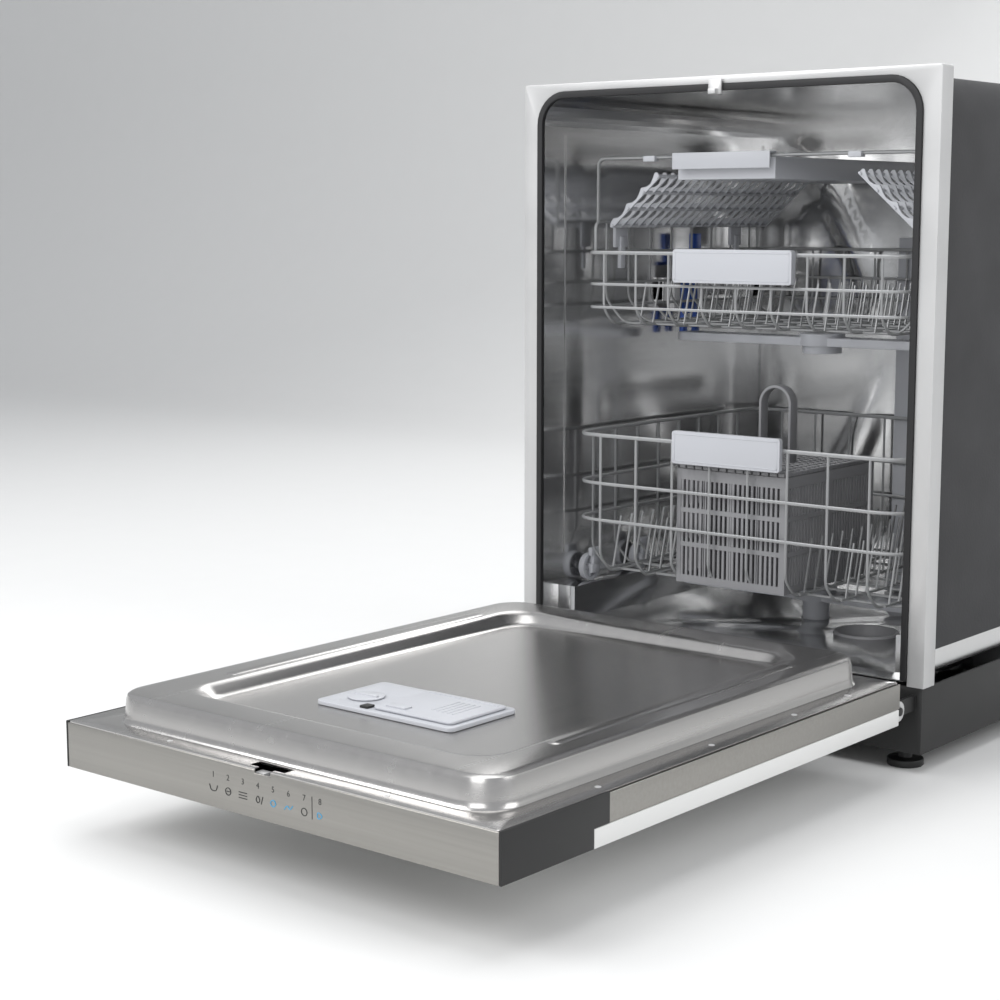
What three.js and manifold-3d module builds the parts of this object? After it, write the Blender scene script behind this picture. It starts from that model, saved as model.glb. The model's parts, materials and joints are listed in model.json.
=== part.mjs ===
// Built-in dishwasher, 60 cm class, drawn with its door open and its racks in.
// Millimetres, +Z up, +X to the right of someone facing the machine, the door towards -Y.
// The drawing's own zero is the tub's front plane; the whole machine is then moved in Y
// so that the origin lies under the middle of its box, on the floor.
import * as THREE from "three";
import { mergeVertices } from "three/addons/utils/BufferGeometryUtils.js";
import Module from "manifold-3d";

const wasm = await Module();
wasm.setup();

// ---- driving dimensions ----
const HALF_WIDTH = 298; // half the overall width
const MACHINE_TOP = 818;
const MACHINE_BACK = 514;
const SIDE_ROOM = 30; // sheet, blanket and frame beside the tub
const BACK_ROOM = 14;
const TOP_ROOM = 18;
const TUB_HALF = HALF_WIDTH - SIDE_ROOM; // tub inside, half width
const TUB_DEPTH = MACHINE_BACK - BACK_ROOM;
const TUB_FLOOR = 110; // underside of the floor sheet
const TUB_TOP = MACHINE_TOP - TOP_ROOM;
const TUB_CORNER = 34;
const SHEET = 1.5; // tub sheet
const TRACK_HEIGHT = 157; // what the lower wheels run on, inside the tub
const TRACK_WIDTH = 27;
const BASE_BOTTOM = 24;
const BASE_TOP = 104;
const BASE_WALL = 3;
const SUMP_Y = TUB_DEPTH / 2 + 8; // middle of the sump and of both spray arms
const GAP = 0.4; // clearance between fitted pieces

const HINGE_Y = -44; // door pivot
const HINGE_Z = 86;
const PIVOT_RADIUS = 5;
const DOOR_TOP_GAP = 5; // under the worktop, with the door shut
const DOOR_FAR = HINGE_Y + HINGE_Z + DOOR_TOP_GAP - MACHINE_TOP; // far edge of the open door
const DOOR_NEAR = -58; // edge beside the hinge
const DOOR_UNDER = 74; // outer face, turned down when open
const PANEL_THICK = 19; // furniture panel
const LEDGE = 124; // the liner's flat edge
const RIM_HEIGHT = 31; // raised part above the ledge
const RIM_SIDE = TUB_HALF - 6; // half width of the raised part
const RIM_FAR = DOOR_FAR + 29;
const RIM_NEAR = -75;
const RIM_CORNER = 40;
const RIM_BAND = 60; // flat band that the wheels run on
const POCKET_DEPTH = 14;
const CONSOLE_DEPTH = 134;
const CAP_DEPTH = 158;
const CAP_THICK = 2.7;
const LATCH_Y = DOOR_FAR + 14;

const WIRE = 4; // rack wire
const TINE = 3;
const LOWER_HALF = TUB_HALF - 18; // half width of the lower rack
const LOWER_FRONT = 33;
const LOWER_BACK = TUB_DEPTH - 11;
const LOWER_FLOOR = 178;
const LOWER_RIM = 367;
const WHEEL_RADIUS = 19.5;
const WHEEL_WIDTH = 10;
const WHEEL_PLACES = [52, 168, 340, 440]; // back from the rack's front

const UPPER_HALF = TUB_HALF - 32;
const UPPER_FRONT = 43;
const UPPER_BACK = TUB_DEPTH - 11;
const UPPER_FLOOR = 508;
const UPPER_RIM = 605;
const UPPER_SIDE_RIM = 643;
const RAIL_HEIGHT = 34;
const RAIL_Z = 548;
const ADJUSTER_Y = 300;
const SHELF_REACH = 104;
const SHELF_ANGLE = 41 * Math.PI / 180;
const SHELF_AXIS_X = UPPER_HALF - 10;
const SHELF_AXIS_Z = 636;
const BAR_Y = 72;
const BAR_Z = 727;

const ARM_SWEEP = Math.min(TUB_HALF, TUB_DEPTH - SUMP_Y); // nearest wall to the arms' axis
const ARM_RADIUS_LOWER = ARM_SWEEP - 30;
const ARM_RADIUS_UPPER = ARM_SWEEP - 16;

// ---- helpers: three.js shapes, joined and cut as solids ----
const machine = new THREE.Group();
machine.position.y = -(DOOR_FAR + MACHINE_BACK) / 2;

// Places that come from a division are kept to half a millimetre, so that faces meet cleanly.
const snap = (value) => Math.round(value * 2) / 2;

function solid(geometry) {
  const plain = geometry.clone();
  plain.deleteAttribute("normal");
  plain.deleteAttribute("uv");
  const merged = mergeVertices(plain, 1e-4);
  return new wasm.Manifold(new wasm.Mesh({
    numProp: 3,
    vertProperties: new Float32Array(merged.attributes.position.array),
    triVerts: new Uint32Array(merged.index.array),
  }));
}

function box(x0, x1, y0, y1, z0, z1) {
  const geometry = new THREE.BoxGeometry(x1 - x0, y1 - y0, z1 - z0);
  return solid(geometry.translate((x0 + x1) / 2, (y0 + y1) / 2, (z0 + z1) / 2));
}

// A cylinder from a to b along one axis; the centre gives the other two coordinates.
function cylinder(axis, radius, a, b, centre, sides = 16) {
  const geometry = new THREE.CylinderGeometry(radius, radius, b - a, sides);
  const middle = (a + b) / 2;
  if (axis === "x") geometry.rotateZ(-Math.PI / 2).translate(middle, centre[0], centre[1]);
  if (axis === "y") geometry.translate(centre[0], middle, centre[1]);
  if (axis === "z") geometry.rotateX(Math.PI / 2).translate(centre[0], centre[1], middle);
  return solid(geometry);
}

// A rounded rectangle in the XY plane, from z0 to z1.
function roundedSlab(x0, x1, y0, y1, radius, z0, z1) {
  const shape = new THREE.Shape();
  shape.moveTo(x0 + radius, y0);
  shape.lineTo(x1 - radius, y0);
  shape.absarc(x1 - radius, y0 + radius, radius, -Math.PI / 2, 0);
  shape.lineTo(x1, y1 - radius);
  shape.absarc(x1 - radius, y1 - radius, radius, 0, Math.PI / 2);
  shape.lineTo(x0 + radius, y1);
  shape.absarc(x0 + radius, y1 - radius, radius, Math.PI / 2, Math.PI);
  shape.lineTo(x0, y0 + radius);
  shape.absarc(x0 + radius, y0 + radius, radius, Math.PI, Math.PI * 1.5);
  const depth = z1 - z0;
  const geometry = new THREE.ExtrudeGeometry(shape, { depth, bevelEnabled: false, curveSegments: 4 });
  return solid(geometry.translate(0, 0, z0));
}

// An arch in the XZ plane: two legs and a top with rounded corners, from y0 to y1.
function arch(half, bottom, top, radius, y0, y1) {
  const shape = new THREE.Shape();
  shape.moveTo(-half, bottom);
  shape.lineTo(half, bottom);
  shape.lineTo(half, top - radius);
  shape.absarc(half - radius, top - radius, radius, 0, Math.PI / 2);
  shape.lineTo(-half + radius, top);
  shape.absarc(-half + radius, top - radius, radius, Math.PI / 2, Math.PI);
  const depth = y1 - y0;
  const geometry = new THREE.ExtrudeGeometry(shape, { depth, bevelEnabled: false, curveSegments: 4 });
  return solid(geometry.rotateX(Math.PI / 2).translate(0, y1, 0));
}

function join(pieces) {
  return pieces.reduce((whole, piece) => whole.add(piece));
}

function cut(body, pieces) {
  return pieces.reduce((whole, piece) => whole.subtract(piece), body);
}

const finishes = {
  steel: [0xb9bbbd, 0.3, 1], brushed: [0x9d9b97, 0.38, 1], galvanised: [0xc9cacb, 0.45, 1],
  white: [0xf1f1ee, 0.4, 0], paleGrey: [0xd3d6db, 0.5, 0], midGrey: [0x9b9d9f, 0.55, 0],
  wire: [0xb0b2b4, 0.5, 0], black: [0x2a2a2b, 0.5, 0], rubber: [0x18181a, 0.8, 0],
  blue: [0x1f52a8, 0.45, 0], felt: [0x4c4c4e, 0.95, 0], iron: [0x55565a, 0.7, 0.6],
};

function add(name, body, finish) {
  const mesh = body.getMesh();
  const geometry = new THREE.BufferGeometry();
  geometry.setAttribute("position", new THREE.BufferAttribute(mesh.vertProperties, 3));
  geometry.setIndex(new THREE.BufferAttribute(mesh.triVerts, 1));
  geometry.computeVertexNormals();
  const [color, roughness, metalness] = finishes[finish];
  const node = new THREE.Mesh(geometry, new THREE.MeshStandardMaterial({ color, roughness, metalness }));
  node.name = name;
  machine.add(node);
}

const SIDES = [["left", -1], ["right", 1]];

// A box given for the right side, mirrored for the left.
function sideBox(side, x0, x1, y0, y1, z0, z1) {
  return side > 0 ? box(x0, x1, y0, y1, z0, z1) : box(-x1, -x0, y0, y1, z0, z1);
}

function sideCylinder(side, radius, x0, x1, centre, sides) {
  if (side > 0) return cylinder("x", radius, x0, x1, centre, sides);
  return cylinder("x", radius, -x1, -x0, centre, sides);
}

// ---- base: tray, feet and the works inside it ----
const BASE_HALF = HALF_WIDTH - 6;
const BASE_FRONT = 6;
const BASE_BACK = MACHINE_BACK - 4;
const INLET = [-230, 62];
const GLAND = [235, 58];
const DRAIN = [120, 46];
const INLET_RADIUS = 12;
const GLAND_RADIUS = 9;
const DRAIN_RADIUS = 10;
const HINGE_LUG = [HALF_WIDTH - 19, HALF_WIDTH - 14];

function baseTray() {
  const outer = box(-BASE_HALF, BASE_HALF, BASE_FRONT, BASE_BACK, BASE_BOTTOM, BASE_TOP);
  const inner = box(-BASE_HALF + BASE_WALL, BASE_HALF - BASE_WALL, BASE_FRONT + BASE_WALL,
    BASE_BACK - BASE_WALL, BASE_BOTTOM + BASE_WALL, BASE_TOP + 1);
  let tray = outer.subtract(inner);
  for (const [, side] of SIDES) {
    const [x0, x1] = HINGE_LUG;
    tray = tray.add(sideBox(side, x0, x1, HINGE_Y, BASE_FRONT + 1, HINGE_Z - 9, HINGE_Z + 9));
    tray = tray.add(sideCylinder(side, 12, x0, x1, [HINGE_Y, HINGE_Z]));
    tray = tray.add(sideCylinder(side, PIVOT_RADIUS, x0 - 1, x1 + 8, [HINGE_Y, HINGE_Z], 16));
  }
  const holes = [[INLET, INLET_RADIUS], [GLAND, GLAND_RADIUS], [DRAIN, DRAIN_RADIUS]]
    .map(([place, radius]) => cylinder("y", radius + GAP, BASE_BACK - 10, BASE_BACK + 10, place));
  return cut(tray, holes);
}

function foot(x, y) {
  const disc = cylinder("z", 22, 0, 9, [x, y]);
  return disc.add(cylinder("z", 8, 8, BASE_BOTTOM - GAP, [x, y], 12));
}

function inletValve() {
  const spout = cylinder("y", INLET_RADIUS, 470, MACHINE_BACK - 0.2, INLET);
  return spout.add(box(INLET[0] - 20, INLET[0] + 20, 440, 480, INLET[1] - 20, INLET[1] + 22));
}

function mainsGland() {
  const stem = cylinder("y", GLAND_RADIUS, 500, MACHINE_BACK - 0.2, GLAND);
  const bore = cylinder("y", 4, 490, MACHINE_BACK + 1, GLAND, 16);
  return stem.add(box(GLAND[0] - 22, GLAND[0] + 22, 468, 502, GLAND[1] - 18, GLAND[1] + 18)).subtract(bore);
}

const SUMP_RADIUS = 108;
const SUMP_CENTRE = [52, 236];
const SPRAY_BORE = 20;
const FILTER = [104, 210];
const FILTER_RADIUS = 42;

function sumpBody() {
  const bowl = cylinder("z", SUMP_RADIUS, 46, TUB_FLOOR - GAP, SUMP_CENTRE, 32);
  const well = cylinder("z", SUMP_RADIUS - 4, 50, TUB_FLOOR + 1, SUMP_CENTRE, 32);
  return bowl.subtract(well);
}

function circulationPump() {
  const motor = cylinder("x", 33, 180, 280, [395, 64]);
  return motor.add(cylinder("x", 24, 160, 181, [395, 64]));
}

function drainPump() {
  const body = cylinder("y", 24, 380, 430, [DRAIN[0], 56]);
  return body.add(cylinder("y", DRAIN_RADIUS, 429, MACHINE_BACK - 0.2, DRAIN));
}

function waterSoftener() {
  const tank = box(-270, -120, 180, 400, 30, 98);
  return tank.add(cylinder("z", 34, 97, TUB_FLOOR - GAP, [-195, 250]));
}

// ---- tub ----
function tubWrapper() {
  const outer = arch(TUB_HALF + SHEET, TUB_FLOOR, TUB_TOP + SHEET, TUB_CORNER + SHEET, 0.5, TUB_DEPTH);
  return outer.subtract(arch(TUB_HALF, TUB_FLOOR - 1, TUB_TOP, TUB_CORNER, -1, TUB_DEPTH + 1));
}

function tubBack() {
  const y = TUB_DEPTH + GAP;
  return arch(TUB_HALF + SHEET, TUB_FLOOR, TUB_TOP + SHEET, TUB_CORNER + SHEET, y, y + SHEET);
}

function tubFloor() {
  const edge = TUB_HALF - GAP;
  let floor = box(-edge, edge, 1, TUB_DEPTH, TUB_FLOOR, TUB_FLOOR + SHEET);
  for (const [, side] of SIDES) {
    const inner = TUB_HALF - TRACK_WIDTH;
    floor = floor.add(sideBox(side, inner, edge, 34, TUB_DEPTH, TUB_FLOOR, TRACK_HEIGHT));
    floor = floor.subtract(sideBox(side, inner + SHEET, edge + 1, 34 + SHEET, TUB_DEPTH + 1,
      TUB_FLOOR - 1, TRACK_HEIGHT - SHEET));
  }
  return cut(floor, [
    cylinder("z", SPRAY_BORE, TUB_FLOOR - 5, TUB_FLOOR + 5, [0, SUMP_Y]),
    cylinder("z", FILTER_RADIUS + 1, TUB_FLOOR - 5, TUB_FLOOR + 5, FILTER, 32),
  ]);
}

const GASKET_WIDTH = 8;
const GASKET_FRONT = -5.4;
const FRAME_FRONT = -3;
const STRIKER_Z = HINGE_Z + HINGE_Y - LATCH_Y; // level with the latch when the door is shut

function tubGasket() {
  const wide = TUB_HALF + GASKET_WIDTH;
  const outer = arch(wide, TUB_FLOOR + 2, TUB_TOP + GASKET_WIDTH, TUB_CORNER + GASKET_WIDTH, GASKET_FRONT, 0);
  return outer.subtract(arch(TUB_HALF, TUB_FLOOR - 1, TUB_TOP, TUB_CORNER, GASKET_FRONT - 1, 1));
}

function frontFrame() {
  const inner = TUB_HALF + GASKET_WIDTH + GAP;
  const top = TUB_TOP + GASKET_WIDTH + GAP;
  const plate = arch(HALF_WIDTH, BASE_TOP + 2, MACHINE_TOP, 3, FRAME_FRONT, -GAP);
  const hole = arch(inner, 0, top, TUB_CORNER + GASKET_WIDTH, FRAME_FRONT - 1, 1);
  const skirt = arch(HALF_WIDTH, BASE_TOP + 2, MACHINE_TOP, 3, FRAME_FRONT, 24);
  const inside = arch(HALF_WIDTH - SHEET, 0, MACHINE_TOP - SHEET, 3, FRAME_FRONT - 1, 25);
  // The striker hangs from the frame's top, and its nose reaches through the door's slot to the latch.
  const hook = box(-9, 9, -9, -6, STRIKER_Z - 3, top + 5);
  const nose = box(-5, 5, -16, -8, STRIKER_Z - 3, STRIKER_Z + 3);
  const arm = box(-9, 9, -9, FRAME_FRONT + 1, top + 2, top + 5);
  return join([plate.subtract(hole), skirt.subtract(inside), hook, arm, nose]);
}

function insulation() {
  const half = TUB_HALF + SHEET + 0.5;
  const top = TUB_TOP + SHEET + 0.5;
  const outer = arch(half + 10, TUB_FLOOR + 30, top + 10, TUB_CORNER + 12, 26, TUB_DEPTH - 2);
  return outer.subtract(arch(half, 0, top, TUB_CORNER + 2, 25, TUB_DEPTH));
}

function ventNut() {
  const x = -TUB_HALF + GAP;
  const centre = [TUB_DEPTH - 100, 265];
  const disc = cylinder("x", 53, x, x + 6, centre, 32);
  const collar = cylinder("x", 40, x + 5, x + 11, centre, 32);
  return disc.add(collar).subtract(cylinder("x", 30, x + 4, x + 20, centre, 24));
}

function riserPipe() {
  const low = TUB_FLOOR + SHEET + GAP;
  const flat = box(-16, 16, TUB_DEPTH - 9, TUB_DEPTH - 1, low, 620);
  return flat.add(box(-24, 24, TUB_DEPTH - 9, TUB_DEPTH - 1, low, low + 30));
}

function airBreakBox() {
  const shell = box(-HALF_WIDTH + 3, -TUB_HALF - SHEET - 11, 120, 380, 200, 580);
  return shell.add(cylinder("z", 5, BASE_TOP + 4, 201, [-HALF_WIDTH + 9, 250], 12));
}

// ---- spray arms ----
function sprayArm(radius, z0, z1, half) {
  const blade = roundedSlab(-radius, radius, SUMP_Y - half, SUMP_Y + half, half - 2, z0, z1);
  const hub = cylinder("z", half + 8, z0, z1 + 5, [0, SUMP_Y], 24);
  return blade.add(hub);
}

// ---- door ----
function doorLiner() {
  const plate = box(-HALF_WIDTH + 3.5, HALF_WIDTH - 3.5, DOOR_FAR + 1, DOOR_NEAR, LEDGE - 1.2, LEDGE);
  const top = LEDGE + RIM_HEIGHT;
  const skin = 1.2;
  const pocket = (grow, floor) => roundedSlab(-RIM_SIDE + RIM_BAND - grow, RIM_SIDE - RIM_BAND + grow,
    RIM_FAR + RIM_BAND - 8 - grow, RIM_NEAR - 35 + grow, 30 + grow, floor, top + 5);
  const raised = roundedSlab(-RIM_SIDE, RIM_SIDE, RIM_FAR, RIM_NEAR, RIM_CORNER, LEDGE - 1.2, top)
    .subtract(pocket(0, top - POCKET_DEPTH));
  const under = roundedSlab(-RIM_SIDE + skin, RIM_SIDE - skin, RIM_FAR + skin, RIM_NEAR - skin,
    RIM_CORNER - skin, LEDGE - 5, top - skin).subtract(pocket(skin, top - POCKET_DEPTH - skin));
  const slot = box(-24, 24, LATCH_Y - 7, LATCH_Y + 7, LEDGE - 5, LEDGE + 1).add(strikerNotch());
  const cupHole = box(-84, 80, -592, -506, top - POCKET_DEPTH - 5, top);
  return cut(plate.add(raised), [under, slot, cupHole]);
}

// The way in for the striker, through the door's far edge.
function strikerNotch() {
  return box(-11, 11, DOOR_FAR - 1, LATCH_Y, LEDGE - 5, LEDGE + 1);
}

function doorLatch() {
  const block = box(-20, 20, LATCH_Y - 6, LATCH_Y + 6, 106, 117);
  return block.subtract(box(-7, 7, LATCH_Y - 8, LATCH_Y + 8, 113, 118));
}

function outerShell() {
  const side = HALF_WIDTH - 0.5;
  const z0 = DOOR_UNDER + PANEL_THICK + GAP;
  const start = DOOR_FAR + CONSOLE_DEPTH + GAP;
  const sideStart = DOOR_FAR + CAP_DEPTH + GAP;
  const tray = box(-side, side, sideStart, DOOR_NEAR, z0, LEDGE - 1.2 - GAP)
    .subtract(box(-side + 1.5, side - 1.5, sideStart - 1, DOOR_NEAR + 1, z0 + 1.2, LEDGE));
  return tray.add(box(-side + 3, side - 3, start, sideStart + 1, z0, z0 + 1.2));
}

function furniturePanel() {
  return box(-HALF_WIDTH, HALF_WIDTH, DOOR_FAR + CONSOLE_DEPTH + GAP, DOOR_NEAR - 2,
    DOOR_UNDER, DOOR_UNDER + PANEL_THICK);
}

function controlConsole() {
  const side = HALF_WIDTH - CAP_THICK - 0.3;
  const outer = box(-side, side, DOOR_FAR, DOOR_FAR + CONSOLE_DEPTH, DOOR_UNDER, LEDGE - 1.2 - GAP);
  const inside = box(-side + 2, side - 2, DOOR_FAR + 2.5, DOOR_FAR + CONSOLE_DEPTH + 1,
    DOOR_UNDER + 2, LEDGE + 1);
  return cut(outer, [inside, strikerNotch()]);
}

function endCap(side) {
  const x0 = HALF_WIDTH - CAP_THICK;
  const whole = sideBox(side, x0, HALF_WIDTH, DOOR_FAR, DOOR_FAR + CONSOLE_DEPTH, DOOR_UNDER, LEDGE);
  return whole.add(sideBox(side, x0, HALF_WIDTH, DOOR_FAR + CONSOLE_DEPTH - 1, DOOR_FAR + CAP_DEPTH,
    DOOR_UNDER + PANEL_THICK + GAP, LEDGE));
}

function hingeArm(side) {
  const [x0, x1] = [HALF_WIDTH - 12, HALF_WIDTH - 8];
  const bladeLow = DOOR_UNDER + PANEL_THICK + 4;
  const blade = sideBox(side, x0, x1, -300, -66, bladeLow, LEDGE - 6);
  const neck = sideBox(side, x0, x1, -78, HINGE_Y, 84, bladeLow + 3);
  const eye = sideCylinder(side, 12, x0, x1, [HINGE_Y, HINGE_Z]);
  const hole = sideCylinder(side, PIVOT_RADIUS + GAP, x0 - 1, x1 + 1, [HINGE_Y, HINGE_Z], 24);
  const trim = sideBox(side, x0 - 1, x1 + 1, -79, -57, 80, DOOR_UNDER + PANEL_THICK + 2.2);
  return cut(join([blade, neck, eye]), [hole, trim]);
}

const POCKET_FLOOR = LEDGE + RIM_HEIGHT - POCKET_DEPTH;
const DISPENSER = { x0: -97, x1: 93, y0: -602, y1: -496 };
const RINSE = [-62, -560];

function dispenserBody() {
  const { x0, x1, y0, y1 } = DISPENSER;
  const flange = roundedSlab(x0, x1, y0, y1, 8, POCKET_FLOOR + GAP, POCKET_FLOOR + 5);
  const cup = box(-82, 78, -590, -508, 108, POCKET_FLOOR + 2);
  const powder = box(-14, 72, -584, -514, 112, POCKET_FLOOR + 9);
  const well = cylinder("z", 16, 125, POCKET_FLOOR + 9, RINSE, 24);
  return cut(flange.add(cup), [powder, well]);
}

function dispenserLid() {
  return roundedSlab(-22, 86, -594, -504, 6, POCKET_FLOOR + 5 + GAP, POCKET_FLOOR + 8.5);
}

function rinseCap() {
  const stem = cylinder("z", 15, 127, POCKET_FLOOR + 5, RINSE, 24);
  const disc = cylinder("z", 20, POCKET_FLOOR + 5 + GAP, POCKET_FLOOR + 7, RINSE, 24);
  const [x, y] = RINSE;
  const grip = box(x - 16, x + 16, y - 2.5, y + 2.5, POCKET_FLOOR + 6, POCKET_FLOOR + 9);
  return join([stem, cylinder("z", 15, POCKET_FLOOR + 4, POCKET_FLOOR + 6, RINSE, 24), disc, grip]);
}

// ---- racks ----
// A grid of wires with rows of tines; every row is a list of places along X.
function rackFloor(half, y0, y1, z, columns, rows, tines, tineTop) {
  const wires = [];
  for (let i = 0; i < columns; i += 1) {
    const x = snap(-half + (2 * half * i) / (columns - 1));
    wires.push(box(x - WIRE / 2, x + WIRE / 2, snap(y0 + 2), snap(y1 - 2), z, z + WIRE));
  }
  for (let i = 0; i < rows; i += 1) {
    const y = snap(y0 + WIRE / 2 + ((y1 - y0 - WIRE) * i) / (rows - 1));
    wires.push(box(-half, half, y - WIRE / 2, y + WIRE / 2, z - 1, z + WIRE - 1));
  }
  for (const [x, y] of tines) {
    wires.push(box(x - TINE / 2, x + TINE / 2, y - TINE / 2, y + TINE / 2, z + 1, tineTop));
  }
  return join(wires);
}

// A ring of wire round the rack at one height.
function ring(half, y0, y1, z) {
  const outer = box(-half, half, y0, y1, z, z + WIRE);
  return outer.subtract(box(-half + WIRE, half - WIRE, y0 + WIRE, y1 - WIRE, z - 1, z + WIRE + 1));
}

function posts(half, y0, y1, z0, z1, acrossCount, alongCount) {
  const pieces = [];
  for (let i = 0; i < acrossCount; i += 1) {
    const x = snap(-half + WIRE / 2 + ((2 * half - WIRE) * i) / (acrossCount - 1));
    pieces.push(box(x - WIRE / 2, x + WIRE / 2, y0, y0 + WIRE, z0, z1));
    pieces.push(box(x - WIRE / 2, x + WIRE / 2, y1 - WIRE, y1, z0, z1));
  }
  for (let i = 1; i < alongCount - 1; i += 1) {
    const y = snap(y0 + ((y1 - y0) * i) / (alongCount - 1));
    pieces.push(box(half - WIRE, half, y - WIRE / 2, y + WIRE / 2, z0, z1));
    pieces.push(box(-half, -half + WIRE, y - WIRE / 2, y + WIRE / 2, z0, z1));
  }
  return pieces;
}

function tineRows(xs, y0, y1, count) {
  const rows = [];
  for (const x of xs) {
    for (let i = 0; i < count; i += 1) rows.push([snap(x), snap(y0 + ((y1 - y0) * i) / (count - 1))]);
  }
  return rows;
}

function lowerFloor() {
  const inset = WIRE + GAP;
  const half = snap(LOWER_HALF - inset - WIRE / 2 - 0.25);
  const y0 = LOWER_FRONT + inset;
  const y1 = LOWER_BACK - inset;
  const places = tineRows([-half * 0.75, -half * 0.5, half * 0.5, half * 0.75], y0 + 30, y1 - 40, 5)
    .concat(tineRows([0], 330, y1 - 40, 2));
  return rackFloor(half, y0, y1, LOWER_FLOOR, 9, 4, places, 246);
}

function lowerWalls() {
  const rings = [LOWER_FLOOR, 254, 302, LOWER_RIM - WIRE]
    .map((z) => ring(LOWER_HALF, LOWER_FRONT, LOWER_BACK, z));
  return join(rings.concat(posts(LOWER_HALF, LOWER_FRONT, LOWER_BACK, LOWER_FLOOR, LOWER_RIM, 5, 5)));
}

function rackHandle(half, front, z0, z1, depth) {
  const y1 = front - GAP;
  const block = roundedSlab(-half, half, z0, z1, 4, 0, depth);
  const hollow = box(-half + 3, half - 3, z0 - 1, z1 - 3, -1, depth - 2.5);
  // Drawn lying down, then stood up: the slab's Y becomes the handle's height.
  return block.subtract(hollow).rotate([90, 0, 0]).translate([0, y1, 0]);
}

const WHEEL_Z = TRACK_HEIGHT + 0.5 + WHEEL_RADIUS;

function wheel(side, y) {
  const x0 = LOWER_HALF + GAP;
  const disc = sideCylinder(side, WHEEL_RADIUS, x0 + 1, x0 + 1 + WHEEL_WIDTH * 0.4, [y, WHEEL_Z], 16);
  const hub = sideCylinder(side, WHEEL_RADIUS * 0.7, x0, x0 + WHEEL_WIDTH, [y, WHEEL_Z], 16);
  return disc.add(hub);
}

const BASKET = { x0: -82, x1: 79, y0: 44, y1: 262, z0: LOWER_FLOOR + WIRE + GAP, z1: 330 };

function cutleryBasket() {
  const { x0, x1, y0, y1, z0, z1 } = BASKET;
  const wall = 2.5;
  let basket = box(x0, x1, y0, y1, z0, z1)
    .subtract(box(x0 + wall, x1 - wall, y0 + wall, y1 - wall, z0 + wall, z1 + 1));
  const middle = (y0 + y1) / 2;
  basket = basket.add(box(x0 + 1, x1 - 1, middle - 1, middle + 1, z0 + 1, z1 - 2));
  const windows = [];
  for (let i = 0; i < 3; i += 1) {
    const low = z0 + 14 + i * 46;
    windows.push(box(x0 + 14, x1 - 14, y0 - 1, y1 + 1, low, low + 34));
    windows.push(box(x0 - 1, x1 + 1, y0 + 14, middle - 10, low, low + 34));
    windows.push(box(x0 - 1, x1 + 1, middle + 10, y1 - 14, low, low + 34));
  }
  windows.push(box(x0 + 20, x1 - 20, y0 + 20, middle - 20, z0 - 1, z0 + wall + 1));
  return cut(basket, windows);
}

function basketLid() {
  const { x0, x1, y0, y1, z1 } = BASKET;
  const z0 = z1 + GAP;
  let lid = box(x0, x1, y0, y1, z0, z0 + 5);
  const holes = [];
  for (const x of [x0 + 8, x1 - 60]) {
    for (let j = 0; j < 4; j += 1) {
      const y = y0 + 8 + j * 52;
      holes.push(box(x, x + 52, y, y + 42, z0 - 1, z0 + 7));
    }
  }
  lid = cut(lid, holes);
  const middle = (y0 + y1) / 2;
  const centre = (x0 + x1) / 2;
  const loopHalf = 24;
  const loopTop = 434;
  const hoop = roundedSlab(centre - loopHalf, centre + loopHalf, z0 + 2, loopTop, loopHalf - 1, -9, 9)
    .subtract(roundedSlab(centre - loopHalf + 4, centre + loopHalf - 4, z0 + 6, loopTop - 4,
      loopHalf - 5, -10, 10))
    .rotate([90, 0, 0]).translate([0, middle, 0]);
  return lid.add(hoop).add(box(centre - 26, centre + 26, middle - 10, middle + 10, z0, z0 + 5));
}

function upperFloor() {
  const inset = WIRE + GAP;
  const half = snap(UPPER_HALF - inset - WIRE / 2 - 0.25);
  const y0 = UPPER_FRONT + inset;
  const y1 = UPPER_BACK - inset;
  const places = tineRows([-half * 2 / 3, half * 2 / 3], y0 + 40, y1 - 40, 5)
    .concat(tineRows([-half / 3, half / 3], y0 + 60, y1 - 60, 4));
  return rackFloor(half, y0, y1, UPPER_FLOOR, 7, 4, places, 562);
}

function upperWalls() {
  const rings = [UPPER_FLOOR, 560, UPPER_RIM - WIRE]
    .map((z) => ring(UPPER_HALF, UPPER_FRONT, UPPER_BACK, z));
  const pieces = rings.concat(posts(UPPER_HALF, UPPER_FRONT, UPPER_BACK, UPPER_FLOOR, UPPER_RIM, 5, 4));
  for (const [, side] of SIDES) {
    const inner = UPPER_HALF - WIRE;
    const upright = (y, z0, z1) => sideBox(side, inner, UPPER_HALF, y - WIRE / 2, y + WIRE / 2, z0, z1);
    pieces.push(sideBox(side, inner, UPPER_HALF, UPPER_FRONT, UPPER_BACK,
      UPPER_SIDE_RIM - WIRE, UPPER_SIDE_RIM));
    for (let i = 0; i < 4; i += 1) {
      const y = UPPER_FRONT + WIRE / 2 + ((UPPER_BACK - UPPER_FRONT - WIRE) * i) / 3;
      pieces.push(upright(y, UPPER_RIM - 2, UPPER_SIDE_RIM));
    }
    pieces.push(upright(BAR_Y, UPPER_SIDE_RIM - 2, BAR_Z));
  }
  pieces.push(box(-UPPER_HALF, UPPER_HALF, BAR_Y - WIRE / 2, BAR_Y + WIRE / 2, BAR_Z - WIRE, BAR_Z));
  return join(pieces);
}

const TRAY = { x0: -110, x1: 35, y0: BAR_Y + 4, y1: 470, z0: BAR_Z - 31, z1: BAR_Z - 4 };

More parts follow.
